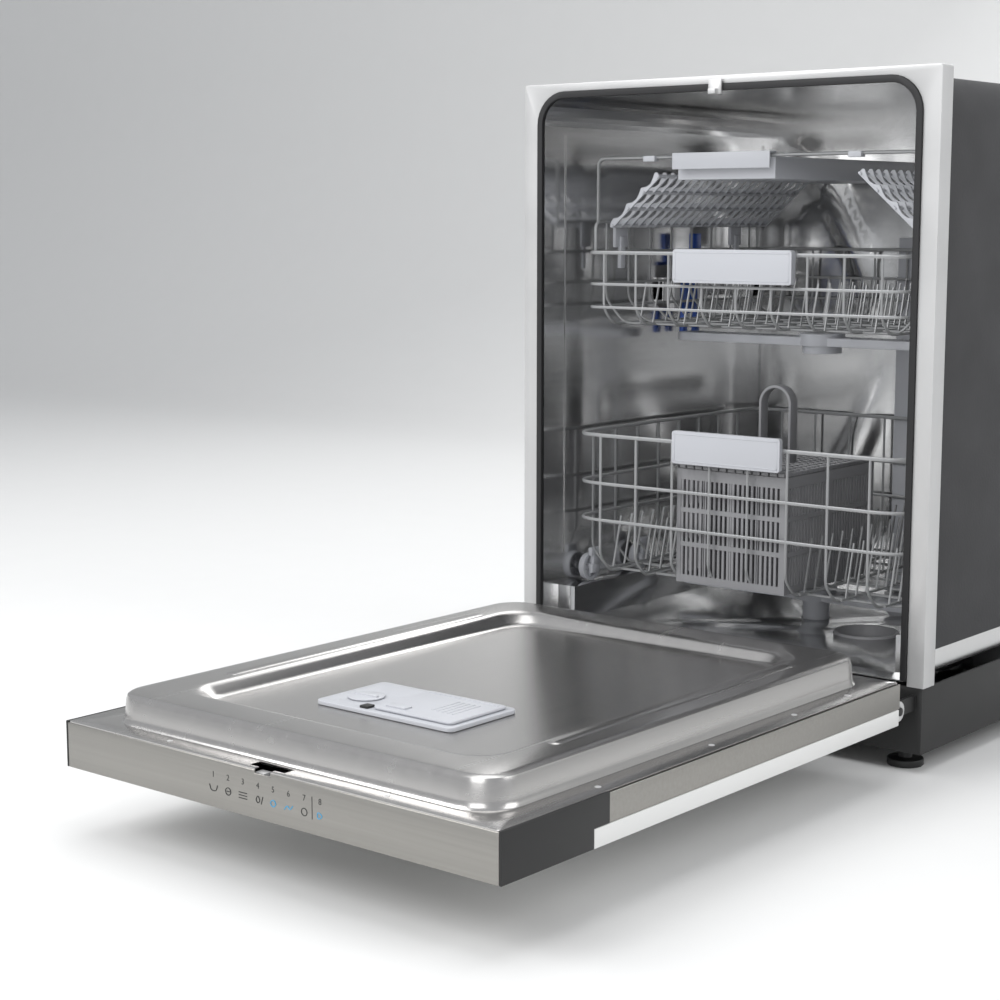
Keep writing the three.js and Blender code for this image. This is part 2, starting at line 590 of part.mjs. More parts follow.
function utensilTray() {
  const { x0, x1, y0, y1, z0, z1 } = TRAY;
  const trough = box(x0, x1, y0, y1, z0, z1).subtract(box(x0 + 2, x1 - 2, y0 + 2, y1 - 2, z0 + 2, z1 + 1));
  const lip = box(x0, x1, BAR_Y - 8, y0 + 1.5, BAR_Z + GAP, BAR_Z + 2.6);
  const riser = box(x0, x1, y0, y0 + 2, z1 - 1, BAR_Z + 2.6);
  const front = box(x0, x1, BAR_Y - 10, BAR_Y - 8 + 0.5, BAR_Z - 18, BAR_Z + 2.6);
  return join([trough, lip, riser, front]);
}

// Ribs along the reach joined by cross bars, turned about the fold axis.
function cupShelf(side) {
  const y0 = BAR_Y + 16;
  const y1 = 462;
  const count = 7;
  const pieces = [box(0, 5, y0, y1, -3, 3)];
  for (const reach of [0.5, 0.95]) {
    pieces.push(box(SHELF_REACH * reach - 3, SHELF_REACH * reach, y0, y1, -1.5, 1.5));
  }
  for (let i = 0; i < count; i += 1) {
    const y = y0 + 5 + ((y1 - y0 - 10) * i) / (count - 1);
    pieces.push(box(0, SHELF_REACH, y - 9, y + 9, -3, 3));
  }
  const flat = join(pieces);
  const degrees = (180 / Math.PI) * SHELF_ANGLE;
  const turned = flat.rotate([0, -degrees, 0]);
  const placed = side < 0 ? turned : turned.scale([-1, 1, 1]);
  return placed.translate([side * SHELF_AXIS_X, 0, SHELF_AXIS_Z]);
}

const RAIL_X = [TUB_HALF - 14, TUB_HALF - 4];
const ADJUSTER_X = [TUB_HALF - 26, TUB_HALF - 14.4];
const RAIL_BACK = UPPER_BACK - 3;
const RAIL_START = ADJUSTER_Y - 48; // the drawn-out stage starts just ahead of the adjuster

function rackRail(side) {
  const [x0, x1] = RAIL_X;
  const z0 = RAIL_Z - RAIL_HEIGHT / 2;
  const z1 = RAIL_Z + RAIL_HEIGHT / 2;
  const body = sideBox(side, x0, x1, RAIL_START, RAIL_BACK, z0, z1);
  const groove = sideBox(side, x0 + 2, x1 + 1, RAIL_START - 1, RAIL_BACK + 1, z0 + 3, z1 - 3);
  return body.subtract(groove);
}

function heightAdjuster(side) {
  const [x0, x1] = ADJUSTER_X;
  const body = sideBox(side, x0, x1, ADJUSTER_Y - 38, ADJUSTER_Y + 38, RAIL_Z - 26, RAIL_Z + 34);
  const channel = sideBox(side, x0 - 1, x0 + 4, ADJUSTER_Y - 23, ADJUSTER_Y + 23, RAIL_Z - 40, RAIL_Z + 40);
  return body.subtract(channel);
}

function adjusterLever(side) {
  const x0 = UPPER_HALF + 2;
  const x1 = ADJUSTER_X[0] + 3.4;
  const spine = sideBox(side, x0 + 4, x1, ADJUSTER_Y - 20, ADJUSTER_Y + 20, RAIL_Z - 34, RAIL_Z + 40);
  const tab = sideBox(side, x0, x1, ADJUSTER_Y + 2, ADJUSTER_Y + 22, RAIL_Z + 38, RAIL_Z + 78);
  const prongs = [-20, 10].map((y) => sideBox(side, x0, x1, ADJUSTER_Y + y, ADJUSTER_Y + y + 10,
    RAIL_Z - 62, RAIL_Z - 32));
  return join([spine, tab, ...prongs]);
}

// ---- assembly ----
add("base_tray", baseTray(), "black");
const FOOT_X = HALF_WIDTH - 43;
const FOOT_REAR = MACHINE_BACK - 39;
const FOOT_PLACES = [["foot_front_left", -FOOT_X, 40], ["foot_front_right", FOOT_X, 40],
  ["foot_rear_left", -FOOT_X, FOOT_REAR], ["foot_rear_right", FOOT_X, FOOT_REAR]];
for (const [name, x, y] of FOOT_PLACES) add(name, foot(x, y), "black");
add("inlet_valve", inletValve(), "white");
add("mains_gland", mainsGland(), "black");
add("sump_body", sumpBody(), "black");
add("circulation_pump", circulationPump(), "midGrey");
add("drain_pump", drainPump(), "midGrey");
add("water_softener", waterSoftener(), "white");
add("tub_wrapper", tubWrapper(), "steel");
add("tub_back", tubBack(), "steel");
add("tub_floor", tubFloor(), "steel");
add("tub_gasket", tubGasket(), "rubber");
add("front_frame", frontFrame(), "galvanised");
add("insulation_blanket", insulation(), "felt");
add("vent_nut", ventNut(), "midGrey");
add("riser_pipe", riserPipe(), "paleGrey");
add("air_break_box", airBreakBox(), "paleGrey");

const lowerHub = cylinder("z", SPRAY_BORE - 2, TUB_FLOOR - 20, 140, [0, SUMP_Y], 20);
add("lower_spray_arm", sprayArm(ARM_RADIUS_LOWER, 138, 148, 20).add(lowerHub), "paleGrey");
add("filter_cup", cylinder("z", FILTER_RADIUS, 62, TUB_FLOOR + SHEET + 3, FILTER, 32)
  .subtract(cylinder("z", FILTER_RADIUS - 4, 66, TUB_FLOOR + 20, FILTER, 32)), "midGrey");

add("door_liner", doorLiner(), "steel");
add("door_outer_shell", outerShell(), "brushed");
add("furniture_panel", furniturePanel(), "white");
add("control_console", controlConsole(), "brushed");
for (const [word, side] of SIDES) {
  add(`end_cap_${word}`, endCap(side), "black");
  add(`hinge_arm_${word}`, hingeArm(side), "galvanised");
}
add("door_latch", doorLatch(), "galvanised");
add("dispenser_body", dispenserBody(), "paleGrey");
add("dispenser_lid", dispenserLid(), "paleGrey");
add("rinse_aid_cap", rinseCap(), "paleGrey");

add("lower_rack_floor", lowerFloor(), "wire");
add("lower_rack_walls", lowerWalls(), "wire");
add("lower_rack_handle", rackHandle(80, LOWER_FRONT, 338, 380, 7), "paleGrey");
add("cutlery_basket", cutleryBasket(), "midGrey");
add("basket_lid", basketLid(), "midGrey");
for (const [word, side] of SIDES) {
  WHEEL_PLACES.forEach((back, index) => {
    add(`wheel_${word}_${index + 1}`, wheel(side, LOWER_FRONT + back), "paleGrey");
  });
}

add("upper_rack_floor", upperFloor(), "wire");
add("upper_rack_walls", upperWalls(), "wire");
add("upper_rack_handle", rackHandle(87, UPPER_FRONT, 567, 609, 10), "paleGrey");
add("utensil_tray", utensilTray(), "paleGrey");
add("upper_spray_arm", sprayArm(ARM_RADIUS_UPPER, 480, 491, 22)
  .add(cylinder("z", 26, 470, 481, [0, SUMP_Y], 24)), "paleGrey");
for (const [word, side] of SIDES) {
  add(`cup_shelf_${word}`, cupShelf(side), "paleGrey");
  add(`rack_rail_${word}`, rackRail(side), "steel");
  add(`height_adjuster_${word}`, heightAdjuster(side), "white");
  add(`adjuster_lever_${word}`, adjusterLever(side), "blue");
}

export default machine;
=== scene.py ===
# %% [markdown]
# # A built-in dishwasher, door open
# The measured solids of the machine arrive as a fixed frame. Each cell below takes one piece or
# finish of the real machine, says what it is, and makes it: bent wire for the racks, pressed sheet
# for the tub and door, moulded plastic for the fittings. Lengths are metres, +Z is up, and the
# door opens towards -Y.

# %% Load the measured machine
import json
import math

import bmesh
import bpy
from mathutils import Matrix, Vector


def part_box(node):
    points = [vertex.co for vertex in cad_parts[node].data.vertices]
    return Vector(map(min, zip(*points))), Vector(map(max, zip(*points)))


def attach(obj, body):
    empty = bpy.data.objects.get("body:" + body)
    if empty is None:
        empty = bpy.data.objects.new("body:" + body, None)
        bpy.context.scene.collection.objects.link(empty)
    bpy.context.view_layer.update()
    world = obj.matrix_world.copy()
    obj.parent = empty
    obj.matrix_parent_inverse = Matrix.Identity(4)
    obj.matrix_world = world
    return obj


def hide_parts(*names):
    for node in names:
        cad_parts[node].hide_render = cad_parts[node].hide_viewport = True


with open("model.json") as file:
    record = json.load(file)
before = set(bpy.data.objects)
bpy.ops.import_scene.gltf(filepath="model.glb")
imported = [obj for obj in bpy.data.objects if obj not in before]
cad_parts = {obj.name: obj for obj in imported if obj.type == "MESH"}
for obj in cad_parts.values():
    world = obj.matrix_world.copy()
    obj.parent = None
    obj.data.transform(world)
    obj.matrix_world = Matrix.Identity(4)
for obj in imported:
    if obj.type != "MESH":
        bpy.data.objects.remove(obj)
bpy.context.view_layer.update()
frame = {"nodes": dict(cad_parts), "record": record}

MM = 0.001
TUB_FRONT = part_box("tub_wrapper")[0][1]

# %% [markdown]
# ## Finishes
# Several finishes share two effects: a fine moulded or sanded grain, and long brush lines. Each
# effect is a node group with named sockets, so one build serves every material. A group hands
# back only a mask and a height, and the shader itself stays in the material.

# %% Shared effects
def new_group(name, inputs, outputs):
    group = bpy.data.node_groups.new(name, "ShaderNodeTree")
    for label, default in inputs:
        socket = group.interface.new_socket(name=label, in_out="INPUT", socket_type="NodeSocketFloat")
        socket.default_value = default
    for label in outputs:
        group.interface.new_socket(name=label, in_out="OUTPUT", socket_type="NodeSocketFloat")
    return group, group.nodes.new("NodeGroupInput"), group.nodes.new("NodeGroupOutput")


def math_node(tree, operation, a, b):
    node = tree.nodes.new("ShaderNodeMath")
    node.operation = operation
    for socket, value in zip(node.inputs, (a, b)):
        if isinstance(value, (int, float)):
            socket.default_value = value
        else:
            tree.links.new(value, socket)
    return node.outputs[0]


def make_grain():
    """Fine grain and slow blotches, as moulded plastic and rolled sheet have."""
    group, given, made = new_group("surface_grain", [("Scale", 900.0), ("Blotch", 14.0)], ["Height", "Mask"])
    place = group.nodes.new("ShaderNodeTexCoord")
    for output, source, detail in (("Height", "Scale", 2.0), ("Mask", "Blotch", 4.0)):
        noise = group.nodes.new("ShaderNodeTexNoise")
        noise.inputs["Detail"].default_value = detail
        group.links.new(place.outputs["Object"], noise.inputs["Vector"])
        group.links.new(given.outputs[source], noise.inputs["Scale"])
        group.links.new(noise.outputs["Fac"], made.inputs[output])
    return group


def make_brush(along):
    """Brush lines: noise squeezed across the brushing direction."""
    group, given, made = new_group("brush_lines_" + "xyz"[along], [("Fineness", 2600.0)], ["Height", "Mask"])
    place = group.nodes.new("ShaderNodeTexCoord")
    stretch = group.nodes.new("ShaderNodeMapping")
    scale = [1.0, 1.0, 1.0]
    scale[along] = 0.012
    stretch.inputs["Scale"].default_value = scale
    group.links.new(place.outputs["Object"], stretch.inputs["Vector"])
    for output, share in (("Height", 1.0), ("Mask", 0.09)):
        noise = group.nodes.new("ShaderNodeTexNoise")
        noise.inputs["Detail"].default_value = 3.0
        group.links.new(stretch.outputs[0], noise.inputs["Vector"])
        group.links.new(math_node(group, "MULTIPLY", given.outputs["Fineness"], share), noise.inputs["Scale"])
        group.links.new(noise.outputs["Fac"], made.inputs[output])
    return group


GRAIN = make_grain()
BRUSH = [make_brush(0), make_brush(1), make_brush(2)]
print("effects:", GRAIN.name, [b.name for b in BRUSH])

# %% [markdown]
# ## One recipe for every finish
# A finish is a base colour that drifts a little, a roughness that drifts with it, and a very low
# bump. Metals take the brush lines, plastics and rubber take the grain. Writing the recipe once
# keeps the finishes in step, and each call only states what differs.

# %% The recipe
RELIEF_DEPTH = 0.0004


def finish(name, color, rough, metal=0.0, effect=GRAIN, fineness=900.0, bump=0.05, drift=0.06, swing=0.08,
           coat=0.0):
    """drift is the share that the colour moves by, swing how far the roughness moves."""
    material = bpy.data.materials.new(name)
    material.use_nodes = True
    tree = material.node_tree
    shader = tree.nodes["Principled BSDF"]
    shader.inputs["Metallic"].default_value = metal
    shader.inputs["Coat Weight"].default_value = coat
    group = tree.nodes.new("ShaderNodeGroup")
    group.node_tree = effect
    group.inputs[0].default_value = fineness
    tint = tree.nodes.new("ShaderNodeMix")
    tint.data_type = "RGBA"
    tint.inputs["A"].default_value = [c * (1 - drift) for c in color] + [1]
    tint.inputs["B"].default_value = [min(1.0, c * (1 + drift)) for c in color] + [1]
    tree.links.new(group.outputs["Mask"], tint.inputs["Factor"])
    tree.links.new(tint.outputs["Result"], shader.inputs["Base Color"])
    moved = math_node(tree, "MULTIPLY", group.outputs["Mask"], swing)
    tree.links.new(math_node(tree, "ADD", moved, rough - swing / 2), shader.inputs["Roughness"])
    relief = tree.nodes.new("ShaderNodeBump")
    relief.inputs["Strength"].default_value = bump
    relief.inputs["Distance"].default_value = RELIEF_DEPTH
    tree.links.new(group.outputs["Height"], relief.inputs["Height"])
    tree.links.new(relief.outputs["Normal"], shader.inputs["Normal"])
    return material


MATERIALS = {
    "stainless_tub": finish("bright_stainless", (0.66, 0.66, 0.66), rough=0.17, metal=1, effect=BRUSH[1],
                            fineness=1400, bump=0.03, drift=0.05, swing=0.08),
    "door_sheet": finish("satin_stainless", (0.50, 0.49, 0.48), rough=0.26, metal=1, effect=BRUSH[1],
                         fineness=900, bump=0.012, drift=0.05, swing=0.08),
    "brushed_front": finish("brushed_stainless", (0.33, 0.32, 0.30), rough=0.38, metal=1, effect=BRUSH[0],
                            fineness=2600, bump=0.25, drift=0.12, swing=0.12),
    "galvanised": finish("zinc_sheet", (0.56, 0.56, 0.56), rough=0.45, metal=0.5, fineness=300, bump=0.05,
                         drift=0.08, swing=0.15),
    "panel_lacquer": finish("white_lacquer", (0.70, 0.70, 0.69), rough=0.32, fineness=400, bump=0.03,
                            drift=0.01, swing=0.05, coat=0.2),
    "white_plastic": finish("white_moulding", (0.68, 0.68, 0.69), rough=0.42, fineness=1100, bump=0.08,
                            drift=0.02, swing=0.08),
    "pale_grey_plastic": finish("pale_grey_moulding", (0.47, 0.48, 0.51), rough=0.42, fineness=1100,
                                bump=0.08, drift=0.03, swing=0.08),
    "mid_grey_plastic": finish("mid_grey_moulding", (0.29, 0.29, 0.30), rough=0.48, fineness=1100,
                               bump=0.1, drift=0.04, swing=0.08),
    "basket_grey": finish("basket_moulding", (0.25, 0.25, 0.26), rough=0.46, fineness=1100, bump=0.1,
                          drift=0.04, swing=0.08),
    "rack_coating": finish("nylon_coated_wire", (0.30, 0.305, 0.31), rough=0.36, metal=0.15, fineness=700,
                           bump=0.08, drift=0.06, swing=0.1, coat=0.15),
    "black_plastic": finish("black_moulding", (0.011, 0.011, 0.011), rough=0.5, fineness=1300, bump=0.15,
                            drift=0.1, swing=0.1),
    "seal_rubber": finish("seal_rubber", (0.012, 0.012, 0.013), rough=0.62, fineness=800, bump=0.1,
                          drift=0.15, swing=0.1),
    "bitumen_felt": finish("bitumen_felt", (0.05, 0.05, 0.052), rough=0.9, fineness=260, bump=0.8,
                           drift=0.3, swing=0.1),
    "blue_plastic": finish("blue_moulding", (0.012, 0.07, 0.36), rough=0.36, fineness=1100, bump=0.08,
                           drift=0.05, swing=0.08, coat=0.1),
    "ink": finish("printed_ink", (0.02, 0.02, 0.02), rough=0.5, fineness=1500, bump=0.02, drift=0.05,
                  swing=0.05),
    "blue_lamp": finish("blue_lamp", (0.03, 0.33, 0.60), rough=0.4, fineness=1500, bump=0.02, drift=0.05,
                        swing=0.05),
}
print("finishes:", len(MATERIALS))

# %% [markdown]
# ## Dressing the measured nodes
# Every node starts with the finish of its own slot, so nothing is left bare.

# %% Finish every measured node
SLOT_OF = {part["node"]: part["material_slot"] for part in frame["record"]["subparts"]}
BODY_OF = {node: body for body, nodes in frame["record"]["behaviour"]["bodies"].items() for node in nodes}


def dress(obj, key):
    obj.data.materials.clear()
    obj.data.materials.append(MATERIALS[key])


for name, node in frame["nodes"].items():
    dress(node, SLOT_OF[name])
dress(frame["nodes"]["door_liner"], "door_sheet")
print("dressed", len(frame["nodes"]))

# %% [markdown]
# ## The camera
# The camera comes early because every later choice is judged through it. It stands in front of
# the machine and to its right, looks a little down, and has a long lens so the uprights stay
# nearly parallel.

# %% Camera
CAMERA_TURN = math.radians(39.68)
CAMERA_TILT = math.radians(8.16)
camera_data = bpy.data.cameras.new("camera")
camera = bpy.data.objects.new("camera", camera_data)
bpy.context.collection.objects.link(camera)
camera_data.lens = 70.85
camera_data.sensor_width = 36
camera.location = (1.344, TUB_FRONT - 2.034, 0.648)
camera.rotation_euler = (math.pi / 2 - CAMERA_TILT, 0, CAMERA_TURN)
bpy.context.scene.camera = camera
print("camera at", tuple(round(v, 3) for v in camera.location))

# %% [markdown]
# ## Rounded copies of the cut solids
# Many real pieces are the measured solid with its sharp edges softened: a moulded cap, a folded
# bracket, a lacquered board. Remodelling each would only repeat the measurements, so a helper
# copies the solid, clears the flat faces of extra edges, and bevels what is left.

# %% Rounded copy
PIECES = {}


def place(name, mesh, node_names, key, body=None):
    """Link a mesh as the piece that stands for some measured nodes."""
    piece = bpy.data.objects.new(name, mesh)
    bpy.context.collection.objects.link(piece)
    dress(piece, key)
    if node_names:
        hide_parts(*node_names)
    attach(piece, body or BODY_OF[node_names[0]])
    PIECES[name] = piece
    return piece


BEVEL_ABOVE, SMOOTH_BELOW = math.radians(30), math.radians(38)
WELD, FLAT_WITHIN = 1e-6, math.radians(0.6)


def soften(mesh, width, segments):
    """Bevel a mesh's sharp edges through a modifier and keep the result."""
    worker = bpy.data.objects.new("worker", mesh)
    bpy.context.collection.objects.link(worker)
    bevel = worker.modifiers.new("bevel", "BEVEL")
    bevel.width = width
    bevel.segments = segments
    bevel.limit_method = "ANGLE"
    bevel.angle_limit = BEVEL_ABOVE
    bevel.harden_normals = False
    bpy.context.view_layer.update()
    graph = bpy.context.evaluated_depsgraph_get()
    result = bpy.data.meshes.new_from_object(worker.evaluated_get(graph))
    bpy.data.objects.remove(worker)
    result.shade_smooth()
    result.set_sharp_from_angle(angle=SMOOTH_BELOW)
    return result


def clean_copy(node):
    """A copy of a measured node without the extra edges in its flat faces."""
    mesh = frame["nodes"][node].data.copy()
    work = bmesh.new()
    work.from_mesh(mesh)
    bmesh.ops.remove_doubles(work, verts=work.verts, dist=WELD)
    bmesh.ops.dissolve_limit(work, angle_limit=FLAT_WITHIN, verts=work.verts, edges=work.edges)
    work.to_mesh(mesh)
    work.free()
    return mesh


def rounded(node, width_mm, segments=2, key=None):
    mesh = soften(clean_copy(node), width_mm * MM, segments)
    return place(node + "_shape", mesh, [node], key or SLOT_OF[node])


for node in ("control_console", "furniture_panel", "end_cap_left", "end_cap_right", "door_outer_shell"):
    rounded(node, 0.8)
for node in ("height_adjuster_left", "height_adjuster_right", "adjuster_lever_left", "adjuster_lever_right",
             "rack_rail_left", "rack_rail_right", "utensil_tray", "rinse_aid_cap", "dispenser_body",
             "hinge_arm_left", "hinge_arm_right", "door_latch", "inlet_valve", "mains_gland", "base_tray",
             "front_frame", "air_break_box", "water_softener", "riser_pipe", "insulation_blanket",
             "tub_gasket", "sump_body", "filter_cup", "tub_floor"):
    rounded(node, 0.7 if "tray" not in node else 0.5)
print("rounded copies:", len(PIECES))

# %% [markdown]
# ## Bent wire
# A rack is welded from round wire with soft bends, then dipped in nylon. Each wire here is a
# path with its corners rounded, and a round section follows it. One helper collects the wires of
# a rack and turns them into a single mesh.

# %% Wire helper
BEND_STEPS, LONGEST_SHARE = 5, 0.45


def bend(points, radius, closed):
    """Points of a path with each corner replaced by a short arc."""
    points = [Vector(p) for p in points]
    count = len(points)
    out = []
    for i, corner in enumerate(points):
        if not closed and i in (0, count - 1):
            out.append(corner)
            continue
        before, after = points[i - 1] - corner, points[(i + 1) % count] - corner
        reach = min(radius, before.length * LONGEST_SHARE, after.length * LONGEST_SHARE)
        start, end = corner + before.normalized() * reach, corner + after.normalized() * reach
        for step in range(BEND_STEPS + 1):
            t = step / BEND_STEPS
            out.append(start * (1 - t) ** 2 + corner * 2 * t * (1 - t) + end * t ** 2)
    return out


WIRE_BEND, RING_BEND = 11 * MM, 46 * MM
RING_THICKER_THAN = 3


def wires(name, paths, node_names, key="rack_coating", body=None, ring_bend=RING_BEND):
    """paths: (points, thickness in mm, closed). A closed heavy wire of four corners is a ring."""
    whole = bmesh.new()
    for points, thick, closed in paths:
        curve = bpy.data.curves.new("wire", "CURVE")
        curve.dimensions = "3D"
        curve.bevel_depth = thick / 2 * MM
        curve.bevel_resolution = 1
        curve.use_fill_caps = True
        is_ring = closed and len(points) == 4 and thick > RING_THICKER_THAN
        path = bend(points, ring_bend if is_ring else WIRE_BEND, closed)
        spline = curve.splines.new("POLY")
        spline.points.add(len(path) - 1)
        for point, place_at in zip(spline.points, path):
            point.co = (*place_at, 1)
        spline.use_cyclic_u = closed
        holder = bpy.data.objects.new("wire", curve)
        mesh = bpy.data.meshes.new_from_object(holder)
        whole.from_mesh(mesh)
        bpy.data.objects.remove(holder)
        bpy.data.curves.remove(curve)
        bpy.data.meshes.remove(mesh)
    result = bpy.data.meshes.new(name)
    whole.to_mesh(result)
    whole.free()
    result.shade_smooth()
    result.set_sharp_from_angle(angle=math.radians(60))
    piece = place(name, result, node_names, key, body)
    print(name, len(paths), "wires,", len(result.vertices), "points")
    return piece


def spread(low, high, count):
    return [low + (high - low) * i / (count - 1) for i in range(count)]


def ring(x0, x1, y0, y1, level, thick):
    return [(x0, y0, level), (x1, y0, level), (x1, y1, level), (x0, y1, level)], thick, True


def cradle(spot, low, high, top, base, cut, thick):
    """A wire bent into a U with cut corners; spot turns a place along it and a height into a point."""
    return [spot(low, top), spot(low, base + cut), spot(low + cut, base), spot(high - cut, base),
            spot(high, base + cut), spot(high, top)], thick, False


print("bends:", round(WIRE_BEND / MM), "mm in wires,", round(RING_BEND / MM), "mm in rings")

# %% [markdown]
# ## The lower rack
# Three rounded rings of heavier wire run round the rack, and lighter wires are bent into U
# shapes across and along it, so their ends stand up as the uprights of the walls. Plate tines
# lean back in rows, and none stand where the cutlery basket does.

# %% Lower rack wires
(LX0, LY0, LZ0), (LX1, LY1, LZ1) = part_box("lower_rack_walls")
INSET = 2.2 * MM
LX0, LX1, LY0, LY1 = LX0 + INSET, LX1 - INSET, LY0 + INSET, LY1 - INSET
BASE_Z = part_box("lower_rack_floor")[0][2] + 3 * MM
RIM_Z = LZ1 - 2.5 * MM
paths = []
for level, thick in ((RIM_Z, 5.4), (RIM_Z - 64 * MM, 4.6), (RIM_Z - 113 * MM, 4.6)):
    paths.append(ring(LX0, LX1, LY0, LY1, level, thick))
CHAMFER, CORNER_ROOM, LIGHT_WIRE = 24 * MM, 48 * MM, 3.8
for y in spread(LY0 + CORNER_ROOM, LY1 - CORNER_ROOM, 8):
    paths.append(cradle(lambda x, z: (x, y, z), LX0, LX1, RIM_Z + 3 * MM, BASE_Z, CHAMFER, LIGHT_WIRE))
for x in spread(LX0 + CORNER_ROOM, LX1 - CORNER_ROOM, 8):
    paths.append(cradle(lambda y, z: (x, y, z), LY0, LY1, RIM_Z + 2 * MM, BASE_Z, CHAMFER, LIGHT_WIRE))
TINE_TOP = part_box("lower_rack_floor")[1][2] + 4 * MM
LEAN, BASKET_ROOM = 18 * MM, 8 * MM
(BX0, BY0, BZ0), (BX1, BY1, BZ1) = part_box("cutlery_basket")
for x in spread(LX0 + 40 * MM, LX1 - 40 * MM, 8):
    over_basket = BX0 - BASKET_ROOM < x < BX1 + BASKET_ROOM
    for y in spread(LY0 + 40 * MM, LY1 - 60 * MM, 15):
        if over_basket and y < BY1 + 12 * MM:
            continue
        paths.append(([(x, y, BASE_Z), (x, y + LEAN, TINE_TOP)], 3.2, False))
    first = BY1 + 12 * MM if over_basket else LY0 + 30 * MM
    paths.append(([(x, first, BASE_Z + 2 * MM), (x, LY1 - 40 * MM, BASE_Z + 2 * MM)], 3.4, False))
wires("lower_rack_wire", paths, ["lower_rack_walls", "lower_rack_floor"], body="lower_rack")

# %% [markdown]
# ## The upper rack
# The upper rack is built the same way, shallower, with its side rims raised above the front and
# a tall hoop across it that carries the tray for long utensils.

# %% Upper rack wires
(UX0, UY0, UZ0), (UX1, UY1, UZ1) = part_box("upper_rack_walls")
UX0, UX1, UY0, UY1 = UX0 + INSET, UX1 - INSET, UY0 + INSET, UY1 - INSET
UP_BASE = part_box("upper_rack_floor")[0][2] + 3 * MM
FRONT_RIM = UP_BASE + 93 * MM
SIDE_RIM = UP_BASE + 133 * MM
HOOP_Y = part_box("utensil_tray")[0][1] + 10 * MM
HOOP_Z = UZ1 - 2.2 * MM
paths = []
for level, thick in ((FRONT_RIM, 5.2), (UP_BASE + 52 * MM, 4.2), (UP_BASE + 22 * MM, 4.0)):
    paths.append(ring(UX0, UX1, UY0, UY1, level, thick))
for x in (UX0, UX1):
    paths.append(([(x, UY0 + 21 * MM, FRONT_RIM - 1 * MM), (x, UY0 + 21 * MM, SIDE_RIM),
                   (x, UY1 - 24 * MM, SIDE_RIM), (x, UY1 - 24 * MM, FRONT_RIM - 1 * MM)], 4.4, False))
paths.append(([(UX0, HOOP_Y, SIDE_RIM), (UX0, HOOP_Y, HOOP_Z), (UX1, HOOP_Y, HOOP_Z),
               (UX1, HOOP_Y, SIDE_RIM)], 4.4, False))
for y in spread(UY0 + 46 * MM, UY1 - 46 * MM, 8):
    paths.append(cradle(lambda x, z: (x, y, z), UX0, UX1, SIDE_RIM, UP_BASE, 30 * MM, 3.5))
for x in spread(UX0 + 30 * MM, UX1 - 30 * MM, 9):
    paths.append(cradle(lambda y, z: (x, y, z), UY0, UY1, FRONT_RIM, UP_BASE, 20 * MM, 3.5))
CUP_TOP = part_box("upper_rack_floor")[1][2] + 2 * MM
for x in spread(UX0 + 60 * MM, UX1 - 60 * MM, 6):
    for y in spread(UY0 + 40 * MM, UY1 - 50 * MM, 13):
        paths.append(([(x, y, UP_BASE), (x, y + 14 * MM, CUP_TOP)], 3.0, False))
wires("upper_rack_wire", paths, ["upper_rack_walls", "upper_rack_floor"], body="upper_rack",
      ring_bend=24 * MM)

# %% [markdown]
# ## Small building helpers
# Pressed and moulded pieces need three kinds of surface: a plain bar with its edges eased, a
# shape turned about an axis, and a sheet drawn between outlines of equal count. Each helper adds
# to a mesh that is being built, so one piece can mix them.

# %% Bars, turned shapes and drawn sheets
def at(x, y, z):
    """A place in millimetres measured from the tub's front, turned into metres."""
    return Vector((x * MM, y * MM + TUB_FRONT, z * MM))


def millimetres(pairs):
    return [(a * MM, b * MM) for a, b in pairs]


def bar(work, x0, x1, y0, y1, z0, z1, turn=None):
    corners = [Vector((x, y, z)) for z in (z0, z1) for y in (y0, y1) for x in (x0, x1)]
    if turn:
        corners = [turn @ corner for corner in corners]
    v = [work.verts.new(corner) for corner in corners]
    for face in ((0, 2, 3, 1), (4, 5, 7, 6), (0, 1, 5, 4), (2, 6, 7, 3), (1, 3, 7, 5), (0, 4, 6, 2)):
        work.faces.new([v[i] for i in face])


def turned(work, profile, centre, axis, sides=28):
    """Turn (radius, along) pairs about an axis; a closed shape starts and ends on radius 0."""
    along = {"x": Vector((1, 0, 0)), "y": Vector((0, 1, 0)), "z": Vector((0, 0, 1))}[axis]
    first = Vector((0, 1, 0)) if axis != "y" else Vector((0, 0, 1))
    second = along.cross(first)
    rings = []
    for radius, step in profile:
        base = Vector(centre) + along * step
        if radius == 0:
            rings.append([work.verts.new(base)])
            continue
        rings.append([work.verts.new(base + (first * math.cos(a) + second * math.sin(a)) * radius)
                      for a in (2 * math.pi * i / sides for i in range(sides))])
    for low, high in zip(rings, rings[1:]):
        for i in range(sides):
            j = (i + 1) % sides
            if len(low) == 1:
                work.faces.new((low[0], high[j], high[i]))
            elif len(high) == 1:
                work.faces.new((low[i], low[j], high[0]))
            else:
                work.faces.new((low[i], low[j], high[j], high[i]))


CORNER_STEPS = 7


def outline(x0, x1, y0, y1, radius, z):
    """A rectangle with round corners at one height, in millimetres."""
    points = []
    for cx, cy, start in ((x1 - radius, y0 + radius, -90), (x1 - radius, y1 - radius, 0),
                          (x0 + radius, y1 - radius, 90), (x0 + radius, y0 + radius, 180)):
        for i in range(CORNER_STEPS + 1):
            angle = math.radians(start + 90 * i / CORNER_STEPS)
            points.append(at(cx + radius * math.cos(angle), cy + radius * math.sin(angle), z))
    return points


def drawn(work, outlines, cap_first=False):
    """A sheet through outlines of equal count, closed over the last and, if asked, the first."""
    rings = [[work.verts.new(p) for p in ring] for ring in outlines]
    for low, high in zip(rings, rings[1:]):
        for i in range(len(low)):
            j = (i + 1) % len(low)
            work.faces.new((low[i], low[j], high[j], high[i]))
    work.faces.new(rings[-1])
    if cap_first:
        work.faces.new(rings[0][::-1])


